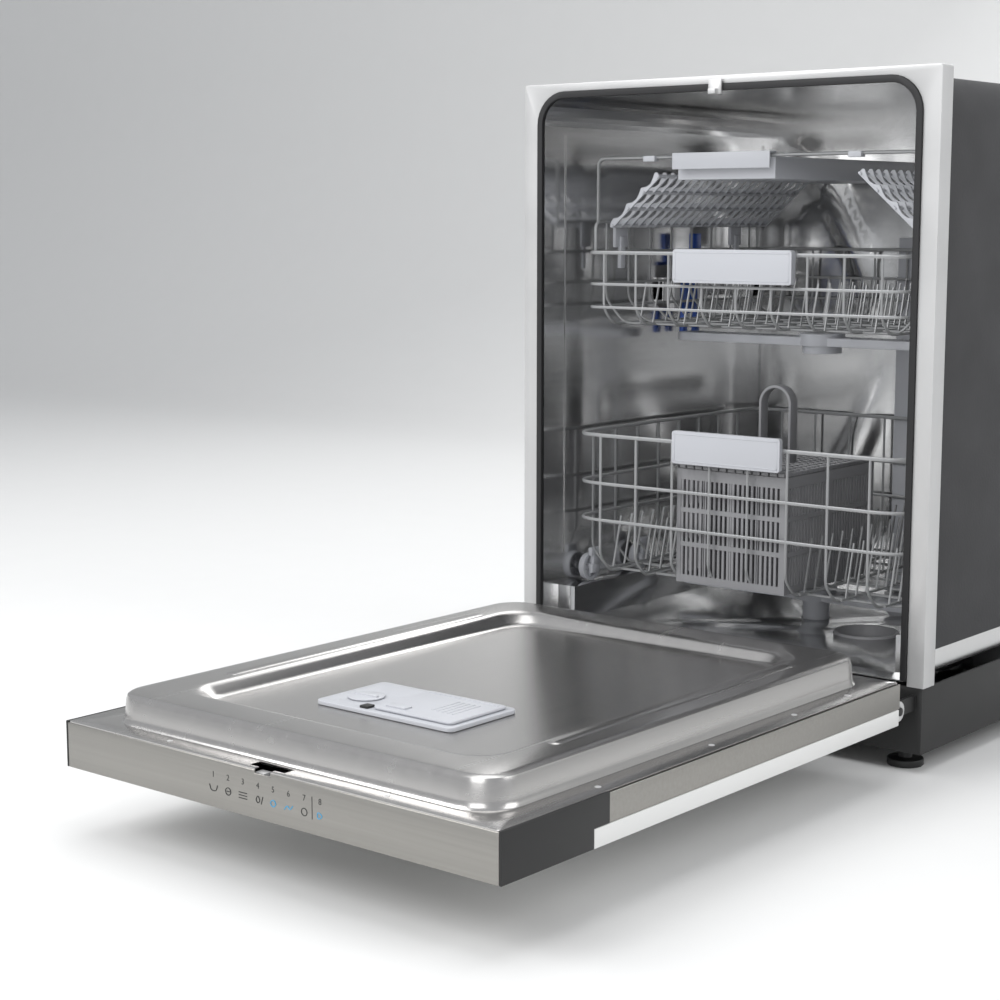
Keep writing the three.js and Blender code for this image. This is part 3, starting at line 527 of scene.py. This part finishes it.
def build(name, maker, node_names, key, body=None, ease=0.0, thick=0.0, carve=None):
    """Run a maker on a new mesh, then thicken, carve and ease it, and place the piece."""
    work = bmesh.new()
    maker(work)
    bmesh.ops.recalc_face_normals(work, faces=work.faces)
    mesh = bpy.data.meshes.new(name)
    work.to_mesh(mesh)
    work.free()
    worker = bpy.data.objects.new("worker", mesh)
    bpy.context.collection.objects.link(worker)
    if thick:
        shell = worker.modifiers.new("thick", "SOLIDIFY")
        shell.thickness = thick * MM
        shell.offset = -1
    if carve:
        tool = bpy.data.objects.new("tool", carve)
        bpy.context.collection.objects.link(tool)
        cut = worker.modifiers.new("cut", "BOOLEAN")
        cut.object = tool
        cut.solver = "EXACT"
    if ease:
        bevel = worker.modifiers.new("ease", "BEVEL")
        bevel.width = ease * MM
        bevel.segments = 2
        bevel.limit_method = "ANGLE"
        bevel.angle_limit = math.radians(32)
    bpy.context.view_layer.update()
    graph = bpy.context.evaluated_depsgraph_get()
    result = bpy.data.meshes.new_from_object(worker.evaluated_get(graph))
    bpy.data.objects.remove(worker)
    if carve:
        bpy.data.objects.remove(tool)
    result.shade_smooth()
    result.set_sharp_from_angle(angle=math.radians(40))
    return place(name, result, node_names, key, body)


print("corner steps:", CORNER_STEPS)

# %% [markdown]
# ## The door's inner sheet
# The inner door is one sheet of stainless steel pressed in a die. Outlines are drawn from the
# flat edge, up a slightly sloping wall with a bead at its foot, over a rounded rim, and down
# into the shallow pocket. A loft through those outlines gives the soft pressed corners that a
# cut block cannot.

# %% Door liner
DOOR_LOW, DOOR_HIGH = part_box("door_liner")
DECK = DOOR_HIGH[2] / MM
LEDGE = DECK - 31
EDGE_X = DOOR_HIGH[0] / MM
FAR = (DOOR_LOW[1] - TUB_FRONT) / MM
NEAR = (DOOR_HIGH[1] - TUB_FRONT) / MM
RIM_X, RIM_FAR, RIM_NEAR = 262, FAR + 28, NEAR - 17


def door_sheet(work):
    wall = [(3, LEDGE), (2.5, LEDGE + 0.6), (0.8, LEDGE + 3), (0, LEDGE + 8), (-1.5, DECK - 7),
            (-3, DECK - 2.6), (-6.5, DECK - 0.6), (-12, DECK)]
    pocket = [(-46, DECK), (-52, DECK - 0.8), (-58, DECK - 4), (-63, DECK - 10.5), (-67, DECK - 13.3),
              (-74, DECK - 13.9)]
    rings = [outline(-EDGE_X, EDGE_X, FAR, NEAR, 3, LEDGE - 2),
             outline(-EDGE_X, EDGE_X, FAR, NEAR, 3, LEDGE - 0.5),
             outline(-EDGE_X + 0.6, EDGE_X - 0.6, FAR + 0.6, NEAR - 0.6, 3, LEDGE)]
    for grow, z in wall:
        rings.append(outline(-RIM_X - grow, RIM_X + grow, RIM_FAR - grow, RIM_NEAR + grow, 40 + grow, z))
    for grow, z in pocket:
        rings.append(outline(-RIM_X - grow, RIM_X + grow, RIM_FAR - grow + 1, RIM_NEAR + grow, 38, z))
    drawn(work, rings)


slot_tool = bmesh.new()
SLOT_SHAPE = [(-11, -1), (11, -1), (11, 6), (24, 6), (24, 20), (-24, 20), (-24, 6), (-11, 6)]
drawn(slot_tool, [[at(x, FAR + y, z) for x, y in SLOT_SHAPE] for z in (LEDGE - 6, LEDGE + 3)], cap_first=True)
bmesh.ops.recalc_face_normals(slot_tool, faces=slot_tool.faces)
slot_mesh = bpy.data.meshes.new("slot_tool")
slot_tool.to_mesh(slot_mesh)
slot_tool.free()
build("door_inner_sheet", door_sheet, ["door_liner"], "door_sheet", "door", thick=1.0, carve=slot_mesh)


SIDE_SCREW = millimetres([(0, 0.1), (1.4, 0.1), (2, 0.4), (3.2, 0.3), (3.6, -0.6), (0, -0.6)])
FRONT_SCREW = millimetres([(0, 0.1), (1.2, 0.1), (1.8, 0.4), (2.8, 0.3), (3.1, -0.6), (0, -0.6)])


def screw_heads(work):
    for side in (-1, 1):
        for y in (-150, -262, -420, -610):
            turned(work, SIDE_SCREW, at(side * 281, y, LEDGE), "z", 16)
    for x in (-150, 150):
        turned(work, FRONT_SCREW, at(x, FAR + 14, LEDGE), "z", 16)


build("door_screws", screw_heads, [], "galvanised", "door")


def band_beads(work):
    for side in (-1, 1):
        x0, x1 = sorted((side * 214, side * 233))
        drawn(work, [outline(x0 - grow, x1 + grow, -610 - grow, -180 + grow, 9 + grow, DECK + z)
                     for grow, z in ((0, -0.4), (-1.5, 0.5), (-4, 1.3))])


build("door_band_beads", band_beads, [], "door_sheet", "door")
print("liner deck at", round(DECK, 1), "mm")

# %% [markdown]
# ## Wheels
# Each lower rack wheel is a moulding: a tread, an inner flange that keeps it on its track, and
# spokes between a hub and the tread. One maker turns the rims and sets the spokes round them.

# %% Wheels
def wheel(work, centre, side):
    tread = [(14.6, -5), (19.4, -5), (19.4, -3.4), (17.9, -2.6), (17.9, 4.2), (17.2, 5), (14.6, 5),
             (14.0, 3.4), (14.0, -3.4), (14.6, -5)]
    hub = [(0, 6), (3.6, 6), (4.6, 5.2), (5.8, 3.6), (5.8, -4.6), (0, -4.6)]
    web = [(0, 0.8), (14.4, 0.8), (14.4, -0.8), (0, -0.8)]
    for profile, sides in ((tread, 36), (hub, 24), (web, 36)):
        turned(work, millimetres([(radius, side * along) for radius, along in profile]), centre, "x", sides)
    for i in range(6):
        turn = Matrix.Translation(centre) @ Matrix.Rotation(math.radians(60 * i), 4, "X")
        bar(work, -3.2 * MM, 3.2 * MM, -1.4 * MM, 1.4 * MM, 5 * MM, 14.6 * MM, turn)


for word, side in (("left", -1), ("right", 1)):
    for i in range(1, 5):
        node = f"wheel_{word}_{i}"
        low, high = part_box(node)
        middle = (Vector(low) + Vector(high)) / 2
        build(node + "_moulding", lambda work: wheel(work, middle, side), [node], "pale_grey_plastic",
              ease=0.35)


def wheel_brackets(work):
    """The moulded legs that clip to the rack's wires and carry the axles."""
    for word, side in (("left", -1), ("right", 1)):
        for i in range(1, 5):
            low, high = (Vector(c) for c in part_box(f"wheel_{word}_{i}"))
            middle = (low + high) / 2
            x0, x1 = sorted((side * 243.5 * MM, side * 249.4 * MM))
            for half, z0, z1 in ((8, -8, 4), (5.5, 3, 17), (10, 16, 27)):
                bar(work, x0, x1, middle.y - half * MM, middle.y + half * MM,
                    middle.z + z0 * MM, middle.z + z1 * MM)


build("wheel_brackets", wheel_brackets, [], "pale_grey_plastic", "lower_rack", ease=1.2)
print("wheels made: 8")

# %% [markdown]
# ## The cutlery basket
# The basket's walls are grids of fine slots between bands, its lid is a grid of square holes,
# and a flat loop stands up from the middle. Bars laid in rows make the same open moulding.

# %% Basket walls, lid and loop
BASKET_LOW, BASKET_HIGH = (Vector(c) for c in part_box("cutlery_basket"))
LID_LOW, LID_HIGH = (Vector(c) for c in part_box("basket_lid"))


SLOT_PITCH, RIB, BAND_PROUD, BAND_SUNK = 7 * MM, 3.4 * MM, 0.35 * MM, 0.3 * MM


def slotted_wall(work, low, high, across, bands):
    """A wall between two corners; across is the axis that its slots are counted along."""
    start, end = (low.x, high.x) if across == "x" else (low.y, high.y)
    count = max(2, round((end - start) / SLOT_PITCH))
    for i in range(count + 1):
        middle = start + (end - start) * i / count
        a, b = max(start, middle - RIB / 2), min(end, middle + RIB / 2)
        if across == "x":
            bar(work, a, b, low.y, high.y, low.z, high.z)
        else:
            bar(work, low.x, high.x, a, b, low.z, high.z)
    proud = Vector((0, BAND_PROUD, 0)) if across == "x" else Vector((BAND_PROUD, 0, 0))
    for centre, half in bands:
        a, b = low - proud, high + proud
        z0, z1 = max(low.z + BAND_SUNK, centre - half), min(high.z - BAND_SUNK, centre + half)
        bar(work, a.x, b.x, a.y, b.y, z0, z1)


FLOOR_BARS = 25


def basket(work):
    low, high = BASKET_LOW, BASKET_HIGH
    wall = 2.2 * MM
    height = high.z - low.z
    bands = [(low.z + 5 * MM, 5 * MM), (low.z + height * 0.34, 3 * MM), (low.z + height * 0.64, 3 * MM),
             (high.z - 7 * MM, 7 * MM)]
    for y0, y1 in ((low.y, low.y + wall), (high.y - wall, high.y)):
        slotted_wall(work, Vector((low.x, y0, low.z)), Vector((high.x, y1, high.z)), "x", bands)
    mid_y = (low.y + high.y) / 2
    for x0, x1 in ((low.x, low.x + wall), (high.x - wall, high.x)):
        slotted_wall(work, Vector((x0, low.y, low.z)), Vector((x1, high.y, high.z)), "y", bands)
    bar(work, low.x, high.x, mid_y - wall, mid_y + wall, low.z, high.z - 6 * MM)
    for i in range(1, 4):
        x = low.x + (high.x - low.x) * i / 4
        bar(work, x - wall / 2, x + wall / 2, low.y, high.y, low.z, high.z - 12 * MM)
    for i in range(FLOOR_BARS):
        x = low.x + (high.x - low.x) * (i + 0.5) / FLOOR_BARS
        bar(work, x - 1.6 * MM, x + 1.6 * MM, low.y + 1 * MM, high.y - 1 * MM,
            low.z + 0.6 * MM, low.z + 2 * MM)
    for x in (low.x - 0.6 * MM, high.x - 5 * MM):
        for y in (low.y - 0.6 * MM, high.y - 5 * MM):
            bar(work, x, x + 5.6 * MM, y, y + 5.6 * MM, low.z - 0.2 * MM, high.z - 0.1 * MM)


build("cutlery_basket_slots", basket, ["cutlery_basket"], "basket_grey", "lower_rack")


def basket_top(work):
    low, high = LID_LOW, Vector((LID_HIGH.x, LID_HIGH.y, LID_LOW.z + 5 * MM))
    across, along = 13, 17
    for i in range(across + 1):
        x = low.x + (high.x - low.x) * i / across
        half = 1.6 * MM if 0 < i < across else 3 * MM
        bar(work, max(low.x, x - half), min(high.x, x + half), low.y, high.y, low.z, high.z)
    for i in range(along + 1):
        y = low.y + (high.y - low.y) * i / along
        half = 1.6 * MM if i not in (0, along // 2, along) else 4 * MM
        bar(work, low.x, high.x, max(low.y, y - half), min(high.y, y + half), low.z, high.z - 0.4 * MM)
    middle = (low + high) / 2
    half_wide, top, width, skin = 24 * MM, LID_HIGH.z, 8.5 * MM, 3.6 * MM
    path = [(-half_wide, high.z - 2 * MM)]
    path += [(-math.cos(a) * half_wide, top - half_wide + math.sin(a) * half_wide)
             for a in spread(0, math.pi, 15)]
    path.append((half_wide, high.z - 2 * MM))
    rings = []
    for i, (x, z) in enumerate(path):
        before, after = path[max(0, i - 1)], path[min(len(path) - 1, i + 1)]
        run = Vector((after[0] - before[0], after[1] - before[1])).normalized()
        out = Vector((-run.y, run.x))
        inner = (x - out.x * skin, z - out.y * skin)
        rings.append([work.verts.new((middle.x + px, middle.y + py, pz)) for (px, pz), py in
                      (((x, z), -width), ((x, z), width), (inner, width), (inner, -width))])
    for low_ring, high_ring in zip(rings, rings[1:]):
        for i in range(4):
            j = (i + 1) % 4
            work.faces.new((low_ring[i], low_ring[j], high_ring[j], high_ring[i]))
    work.faces.new(rings[0][::-1])
    work.faces.new(rings[-1])


build("basket_lid_grid", basket_top, ["basket_lid"], "basket_grey", "lower_rack", ease=0.5)
print("basket", [round(v / MM) for v in BASKET_HIGH - BASKET_LOW])

# %% [markdown]
# ## Cup shelves
# Folding shelves hold cups at a slant. Each is a comb of thin scalloped ribs joined by cross
# bars, hinged on the side wires and held by two arms. The rib outline is drawn once and repeated
# along the hinge.

# %% Cup shelves
SHELF_ANGLE, SHELF_REACH, SHELF_RIBS = math.radians(41), 101, 21


def shelf(work, side, low, high):
    hinge_x = (high.x if side > 0 else low.x) - side * 4 * MM
    base_z = low.z + 4 * MM

    def spot(u, w, y):
        """u runs up the slope from the hinge, w stands off it."""
        return Vector((hinge_x - side * (u * math.cos(SHELF_ANGLE) + w * math.sin(SHELF_ANGLE)), y,
                       base_z + u * math.sin(SHELF_ANGLE) - w * math.cos(SHELF_ANGLE)))

    scallops = [(0, -1.5), (0, 5), (9, 7.5), (16, 3), (24, 2), (31, 4), (38, 8), (46, 3), (54, 2), (61, 4),
                (69, 8), (77, 3), (84, 2), (91, 5), (98, 8.5), (SHELF_REACH, 6), (SHELF_REACH, -1.5)]
    for i in range(SHELF_RIBS):
        y = low.y + 3 * MM + (high.y - low.y - 6 * MM) * i / (SHELF_RIBS - 1)
        front = [work.verts.new(spot(u * MM, (3 - w) * MM, y - 1.3 * MM)) for u, w in scallops]
        back = [work.verts.new(spot(u * MM, (3 - w) * MM, y + 1.3 * MM)) for u, w in scallops]
        work.faces.new(front)
        work.faces.new(back[::-1])
        for a in range(len(front)):
            b = (a + 1) % len(front)
            work.faces.new((front[a], back[a], back[b], front[b]))
    for u in (2, 36, 68, 99):
        corners = [spot((u + du) * MM, w * MM, y) for y in (low.y, high.y)
                   for du, w in ((-2.4, 0.6), (2.4, 0.6), (2.4, 3.6), (-2.4, 3.6))]
        v = [work.verts.new(c) for c in corners]
        for face in ((3, 2, 1, 0), (4, 5, 6, 7), (0, 1, 5, 4), (1, 2, 6, 5), (2, 3, 7, 6), (3, 0, 4, 7)):
            work.faces.new([v[k] for k in face])


for word, side in (("left", -1), ("right", 1)):
    node = f"cup_shelf_{word}"
    low, high = (Vector(c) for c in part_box(node))
    build(node + "_comb", lambda work: shelf(work, side, low, high), [node], "pale_grey_plastic", ease=0.4)


def shelf_clips(work):
    """A flat clip over the side rim at each end of a shelf, with a narrower leg below it."""
    for side in (-1, 1):
        for y in (120, 400):
            for x, half_x, half_y, z0, z1 in ((233, 2.5, 14, (SIDE_RIM / MM - 34) * MM, SIDE_RIM + 2 * MM),
                                              (231, 3, 5, (SIDE_RIM / MM - 62) * MM, SIDE_RIM - 20 * MM)):
                bar(work, side * x * MM - half_x * MM, side * x * MM + half_x * MM,
                    at(0, y - half_y, 0).y, at(0, y + half_y, 0).y, z0, z1)


build("shelf_clips", shelf_clips, [], "pale_grey_plastic", "upper_rack", ease=1.0)
print("shelves done")

# %% [markdown]
# ## Spray arms
# A spray arm is a hollow blade with small nozzles on its upper face and a threaded hub below.
# The measured blade keeps its outline; nozzle rings and a ribbed nut are added to it.

# %% Spray arms
SPRAY_Y = at(0, 258, 0).y
NOZZLE = millimetres([(0, -0.5), (1.2, -0.5), (1.4, 0.6), (2.6, 0.9), (3.2, 0), (3.2, -1), (0, -1)])


def arm_nozzles(work, node):
    low, high = (Vector(c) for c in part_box(node))
    half = (high.x - low.x) / 2
    face = high.z - 5 * MM
    for k in range(-9, 10):
        if abs(k) < 2:
            continue
        offset = 6 * MM if k % 2 else -6 * MM
        turned(work, NOZZLE, (k * half / 10, SPRAY_Y + offset, face), "z", 12)


for node in ("lower_spray_arm", "upper_spray_arm"):
    rounded(node, 3.0, 3, "pale_grey_plastic")
    build(node + "_nozzles", lambda work: arm_nozzles(work, node), [], "mid_grey_plastic", BODY_OF[node])


def hub_nut(work):
    centre = Vector((0, SPRAY_Y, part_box("upper_spray_arm")[0][2]))
    turned(work, millimetres([(0, 0), (20, 0), (21.5, 1.5), (21.5, 8), (0, 8)]), centre, "z", 32)
    for i in range(16):
        turn = Matrix.Translation(centre) @ Matrix.Rotation(math.radians(22.5 * i), 4, "Z")
        bar(work, 21 * MM, 23.2 * MM, -1.2 * MM, 1.2 * MM, 0.6 * MM, 8 * MM, turn)


build("upper_spray_nut", hub_nut, [], "pale_grey_plastic", "upper_spray", ease=0.4)
print("arms done")

# %% [markdown]
# ## The vent grille
# A round grille screws through the tub's side: a rim, a hub, two rings between them and radial
# bars. Turned profiles give every ring, and one bar is set round the axis sixteen times.

# %% Vent grille
def grille(work):
    low, high = (Vector(c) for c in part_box("vent_nut"))
    centre = Vector((low.x, (low.y + high.y) / 2, (low.z + high.z) / 2))
    radius = (high.z - low.z) / 2
    rim = [(0, 1), (0.62, 1), (0.66, 5), (0.8, 9), (0.9, 8), (1, 5), (1, 0), (0, 0)]
    hub = [(0, 10.5), (0.16, 10), (0.2, 8), (0.2, 1), (0, 1)]
    hoops = [[(r, 7), (r + 0.05, 7), (r + 0.05, 1), (r, 1), (r, 7)] for r in (0.36, 0.5)]
    for profile, sides in ((rim, 48), (hub, 28), (hoops[0], 36), (hoops[1], 36)):
        turned(work, [(radius * share, along * MM) for share, along in profile], centre, "x", sides)
    for i in range(16):
        turn = Matrix.Translation(centre) @ Matrix.Rotation(math.radians(22.5 * i), 4, "X")
        bar(work, 1 * MM, 7.6 * MM, -1.1 * MM, 1.1 * MM, radius * 0.18, radius * 0.68, turn)


build("vent_grille", grille, ["vent_nut"], "pale_grey_plastic", ease=0.4)

# %% [markdown]
# ## Pressed tub walls
# Large flat sheet would drum, so a tub's walls are pressed with broad ridges. A grid of points
# on each wall is pushed inwards by a smooth height field: ridges that cross on the back, and
# framed panels on the sides.

# %% Pressed walls
TUB_LOW, TUB_HIGH = (Vector(c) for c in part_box("tub_wrapper"))
BACK_FACE, SIDE_FACE_MM = at(0, 499.6, 0).y, 267.4


def bump_between(value, low, high, soft):
    """One inside the range, falling smoothly to nothing over the soft width."""
    reach = min(value - low, high - value)
    t = max(0.0, min(1.0, reach / soft))
    return t * t * (3 - 2 * t)


def skin(work, grid):
    """Faces between the neighbours of a grid of points."""
    for low_row, high_row in zip(grid, grid[1:]):
        for i in range(len(low_row) - 1):
            work.faces.new((low_row[i], low_row[i + 1], high_row[i + 1], high_row[i]))


def pressed_back(work):
    wide, tall = 60, 76
    x0, x1 = TUB_LOW.x + 0.5 * MM, TUB_HIGH.x - 0.5 * MM
    z0, z1 = TUB_LOW.z + 0.5 * MM, TUB_HIGH.z - 0.5 * MM
    grid = []
    for j in range(tall + 1):
        row = []
        for i in range(wide + 1):
            u, w = i / wide, j / tall
            x, z = x0 + (x1 - x0) * u, z0 + (z1 - z0) * w
            ridge = 0.0
            for slope in (1, -1):
                across = (u - 0.5) * slope * 1.35 - (w - 0.5)
                ridge = max(ridge, bump_between(across, -0.085, 0.085, 0.055))
            panel = bump_between(u, 0.06, 0.94, 0.05) * bump_between(w, 0.05, 0.95, 0.04)
            clear = 1 - bump_between(x, -78 * MM, 78 * MM, 56 * MM)
            depth = (ridge * 5.5 + 2.0) * panel * clear * MM
            row.append(work.verts.new((x, BACK_FACE - depth, z)))
        grid.append(row)
    skin(work, grid)


build("tub_back_pressing", pressed_back, ["tub_back"], "stainless_tub", "root", thick=0.9)


def pressed_side(work, side):
    deep, tall = 52, 72
    x = side * SIDE_FACE_MM * MM
    y0, y1 = at(0, 44, 0).y, at(0, 468, 0).y
    z0, z1 = 0.200, TUB_HIGH.z - 46 * MM
    grid = []
    for j in range(tall + 1):
        row = []
        for i in range(deep + 1):
            u, w = i / deep, j / tall
            frame_ridge = bump_between(u, 0.02, 0.98, 0.06) * bump_between(w, 0.02, 0.98, 0.04)
            hollow = bump_between(u, 0.16, 0.84, 0.09) * bump_between(w, 0.12, 0.42, 0.07)
            hollow = max(hollow, bump_between(u, 0.16, 0.84, 0.09) * bump_between(w, 0.68, 0.93, 0.07))
            depth = 2.2 * frame_ridge * (1 - 0.9 * hollow) * MM
            row.append(work.verts.new((x - side * depth, y0 + (y1 - y0) * u, z0 + (z1 - z0) * w)))
        grid.append(row)
    skin(work, grid)


for word, side in (("left", -1), ("right", 1)):
    build(f"tub_side_pressing_{word}", lambda work: pressed_side(work, side), [], "stainless_tub", "root",
          thick=0.6)
print("pressings done")

# %% [markdown]
# ## Console marks
# The front carries small numerals, a simple sign under each, and a thin divider. Three of them
# are lit. Thin raised shapes keep them crisp at any distance.

# %% Numerals and signs
CONSOLE_LOW, CONSOLE_HIGH = (Vector(c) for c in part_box("control_console"))
FACE_Y = CONSOLE_LOW.y - 0.05 * MM
KEY_X = [(-69 + 21 * i) * MM for i in range(8)]
LIT_KEYS = (4, 5, 7)
NUMERAL_Z = CONSOLE_HIGH.z - 17.5 * MM
SIGN_Z = NUMERAL_Z - 11 * MM
SIGN_SIZE, NUMERAL_SIZE = 1.9, 8.5 * MM


def numeral(text, x):
    font = bpy.data.curves.new("numeral", "FONT")
    font.body = text
    font.size = NUMERAL_SIZE
    font.extrude = 0.12 * MM
    font.align_x = "CENTER"
    font.resolution_u = 4
    holder = bpy.data.objects.new("numeral", font)
    mesh = bpy.data.meshes.new_from_object(holder)
    bpy.data.objects.remove(holder)
    mesh.transform(Matrix.Translation((x, FACE_Y, NUMERAL_Z)) @ Matrix.Rotation(math.pi / 2, 4, "X"))
    place(f"numeral_{text}", mesh, [], "ink", "door")


def sign_paths(kind, x):
    """Small line signs: dish, barred ring, lines, drop and stroke, diamond, wave, ring, arrow."""
    def p(dx, dz):
        return Vector((x + dx * SIGN_SIZE * MM, FACE_Y, SIGN_Z + dz * SIGN_SIZE * MM))
    ring = [p(2.0 * math.cos(a), 2.0 * math.sin(a)) for a in (math.pi * 2 * i / 10 for i in range(10))]
    drop = [p(0, 2.4), p(1.6, -0.4), p(0, -2), p(-1.6, -0.4)]
    shapes = [
        [([p(-3, 1.6), p(-2, -1.6), p(2, -1.6), p(3, 1.6)], False)],
        [(ring, True), ([p(-1, 0), p(1, 0)], False)],
        [([p(-3, 1.5), p(3, 1.5)], False), ([p(-3, 0), p(3, 0)], False), ([p(-3, -1.5), p(3, -1.5)], False)],
        [(drop, True), ([p(2.4, -2), p(3.6, 2)], False)],
        [([p(-2.4, 0), p(0, 2.2), p(2.4, 0), p(0, -2.2)], True)],
        [([p(-3, -1.4), p(-1, 1.2), p(1, -1.2), p(3, 1.4)], False)],
        [(ring, True)],
        [([p(-1.8, -2.2), p(2.2, 0), p(-1.8, 2.2)], True)],
    ]
    return shapes[kind]


for i, x in enumerate(KEY_X):
    numeral(str(i + 1), x)
    paths = [(points, 1.0, closed) for points, closed in sign_paths(i, x)]
    wires(f"sign_{i + 1}", paths, [], "blue_lamp" if i in LIT_KEYS else "ink", "door")
divider_x = (KEY_X[6] + KEY_X[7]) / 2
divider = [(divider_x, FACE_Y, SIGN_Z - 5 * MM), (divider_x, FACE_Y, NUMERAL_Z + 6 * MM)]
wires("key_divider", [(divider, 0.8, False)], [], "ink", "door")

# %% [markdown]
# ## Softer mouldings
# The handles, feet, pumps and dispenser lid are plain mouldings, so wider rounded copies of the
# measured solids serve. The dispenser also has a press tab, a hinge line and a dark window.

# %% Handles, feet, pumps and dispenser
for node, width in (("lower_rack_handle", 2.6), ("upper_rack_handle", 2.6), ("dispenser_lid", 1.3),
                    ("foot_front_left", 1.6), ("foot_front_right", 1.6), ("foot_rear_left", 1.6),
                    ("foot_rear_right", 1.6), ("circulation_pump", 2.2), ("drain_pump", 2.0)):
    rounded(node, width, 3)


def handle_lip(work, node):
    low, high = (Vector(c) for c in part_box(node))
    inset, rise, edge = 3.2 * MM, 0.9 * MM, 1.6 * MM
    y0, y1 = low.y - rise * 0.4, low.y + 1.5 * MM
    x0, x1, z0, z1 = low.x + inset, high.x - inset, low.z + inset, high.z - inset
    bar(work, x0, x1, y0, y1, z1 - edge, z1)
    bar(work, x0, x1, y0, y1, z0, z0 + edge)
    bar(work, x0, x0 + edge, y0, y1, z0, z1)
    bar(work, x1 - edge, x1, y0, y1, z0, z1)


for node in ("lower_rack_handle", "upper_rack_handle"):
    build(node + "_lip", lambda work: handle_lip(work, node), [], "pale_grey_plastic", BODY_OF[node],
          ease=0.3)


def dispenser_trim(work):
    low, high = (Vector(c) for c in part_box("dispenser_lid"))
    top = high.z
    bar(work, low.x + 12 * MM, low.x + 38 * MM, low.y + 8 * MM, low.y + 20 * MM, top - 1 * MM, top + 1.8 * MM)
    bar(work, low.x + 6 * MM, high.x - 6 * MM, high.y - 9 * MM, high.y - 6.5 * MM,
        top - 1 * MM, top + 0.7 * MM)
    for i in range(5):
        x = low.x + (58 + 7 * i) * MM
        bar(work, x, x + 2.4 * MM, low.y + 26 * MM, high.y - 20 * MM, top - 1 * MM, top + 0.6 * MM)


build("dispenser_tab", dispenser_trim, [], "pale_grey_plastic", "dispenser_lid", ease=0.5)


def dispenser_window(work):
    low, high = (Vector(c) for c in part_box("dispenser_body"))
    top = high.z
    bar(work, low.x + 60 * MM, low.x + 71 * MM, low.y + 5 * MM, low.y + 17 * MM, top - 1 * MM, top + 2.6 * MM)


build("dispenser_window", dispenser_window, [], "black_plastic", "door", ease=0.8)


def hoop_clips(work):
    for x in (-150, 150):
        bar(work, (x - 9) * MM, (x + 9) * MM, HOOP_Y - 5 * MM, HOOP_Y + 5 * MM,
            HOOP_Z - 5 * MM, HOOP_Z + 2.2 * MM)
    low, high = (Vector(c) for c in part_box("utensil_tray"))
    for i in range(9):
        y = low.y + 20 * MM + (high.y - low.y - 40 * MM) * i / 8
        bar(work, low.x + 6 * MM, high.x - 6 * MM, y - 1.2 * MM, y + 1.2 * MM, low.z + 1 * MM, low.z + 5 * MM)


build("hoop_clips", hoop_clips, [], "pale_grey_plastic", "upper_rack", ease=0.8)
print("pieces so far:", len(PIECES))

# %% [markdown]
# ## Studio
# A pale floor that curves up behind the machine and a few broad soft lights keep the steel calm:
# metal only shows what is around it.

# %% Floor and lights
def studio():
    size, rise = 9.0, 5.0
    profile = [(-size, 0.0), (2.6, 0.0)]
    profile += [(2.6 + math.sin(a) * 1.2, 1.2 - math.cos(a) * 1.2) for a in spread(0.2, math.pi / 2, 8)]
    profile.append((3.8, rise))
    mesh = bpy.data.meshes.new("studio_floor")
    sheet = bmesh.new()
    rows = [[sheet.verts.new((x, y, z)) for x in (-size, size)] for y, z in profile]
    for low, high in zip(rows, rows[1:]):
        sheet.faces.new((low[0], low[1], high[1], high[0]))
    sheet.to_mesh(mesh)
    sheet.free()
    mesh.shade_smooth()
    floor = bpy.data.objects.new("studio_floor", mesh)
    bpy.context.collection.objects.link(floor)
    floor.data.materials.append(finish("studio_paint", (0.74, 0.74, 0.735), rough=0.8, fineness=30, bump=0.0,
                                       drift=0.01, swing=0.02))


def area_light(name, place_at, aim, size, watts):
    data = bpy.data.lights.new(name, "AREA")
    data.shape = "RECTANGLE"
    data.size, data.size_y = size
    data.energy = watts
    lamp = bpy.data.objects.new(name, data)
    bpy.context.collection.objects.link(lamp)
    lamp.location = place_at
    lamp.rotation_euler = (Vector(aim) - Vector(place_at)).to_track_quat("-Z", "Y").to_euler()


studio()
area_light("key", (-1.6, -2.6, 2.6), (0, 0, 0.4), (2.4, 1.8), 75)
area_light("front", (1.2, -3.4, 1.5), (0, 0.2, 0.4), (2.0, 1.6), 30)
area_light("side", (3.0, 0.6, 1.8), (0, 0, 0.4), (1.8, 1.8), 30)
area_light("top", (0, -0.2, 3.2), (0, 0, 0), (2.6, 2.6), 45)
area_light("back", (-1.5, 3.0, 2.4), (0, 0.4, 0.4), (2.0, 1.6), 30)
world = bpy.data.worlds.new("studio_air")
bpy.context.scene.world = world
world.use_nodes = True
world.node_tree.nodes["Background"].inputs["Color"].default_value = (0.9, 0.92, 0.95, 1)
world.node_tree.nodes["Background"].inputs["Strength"].default_value = 0.62
bpy.context.scene.view_settings.view_transform = "Standard"
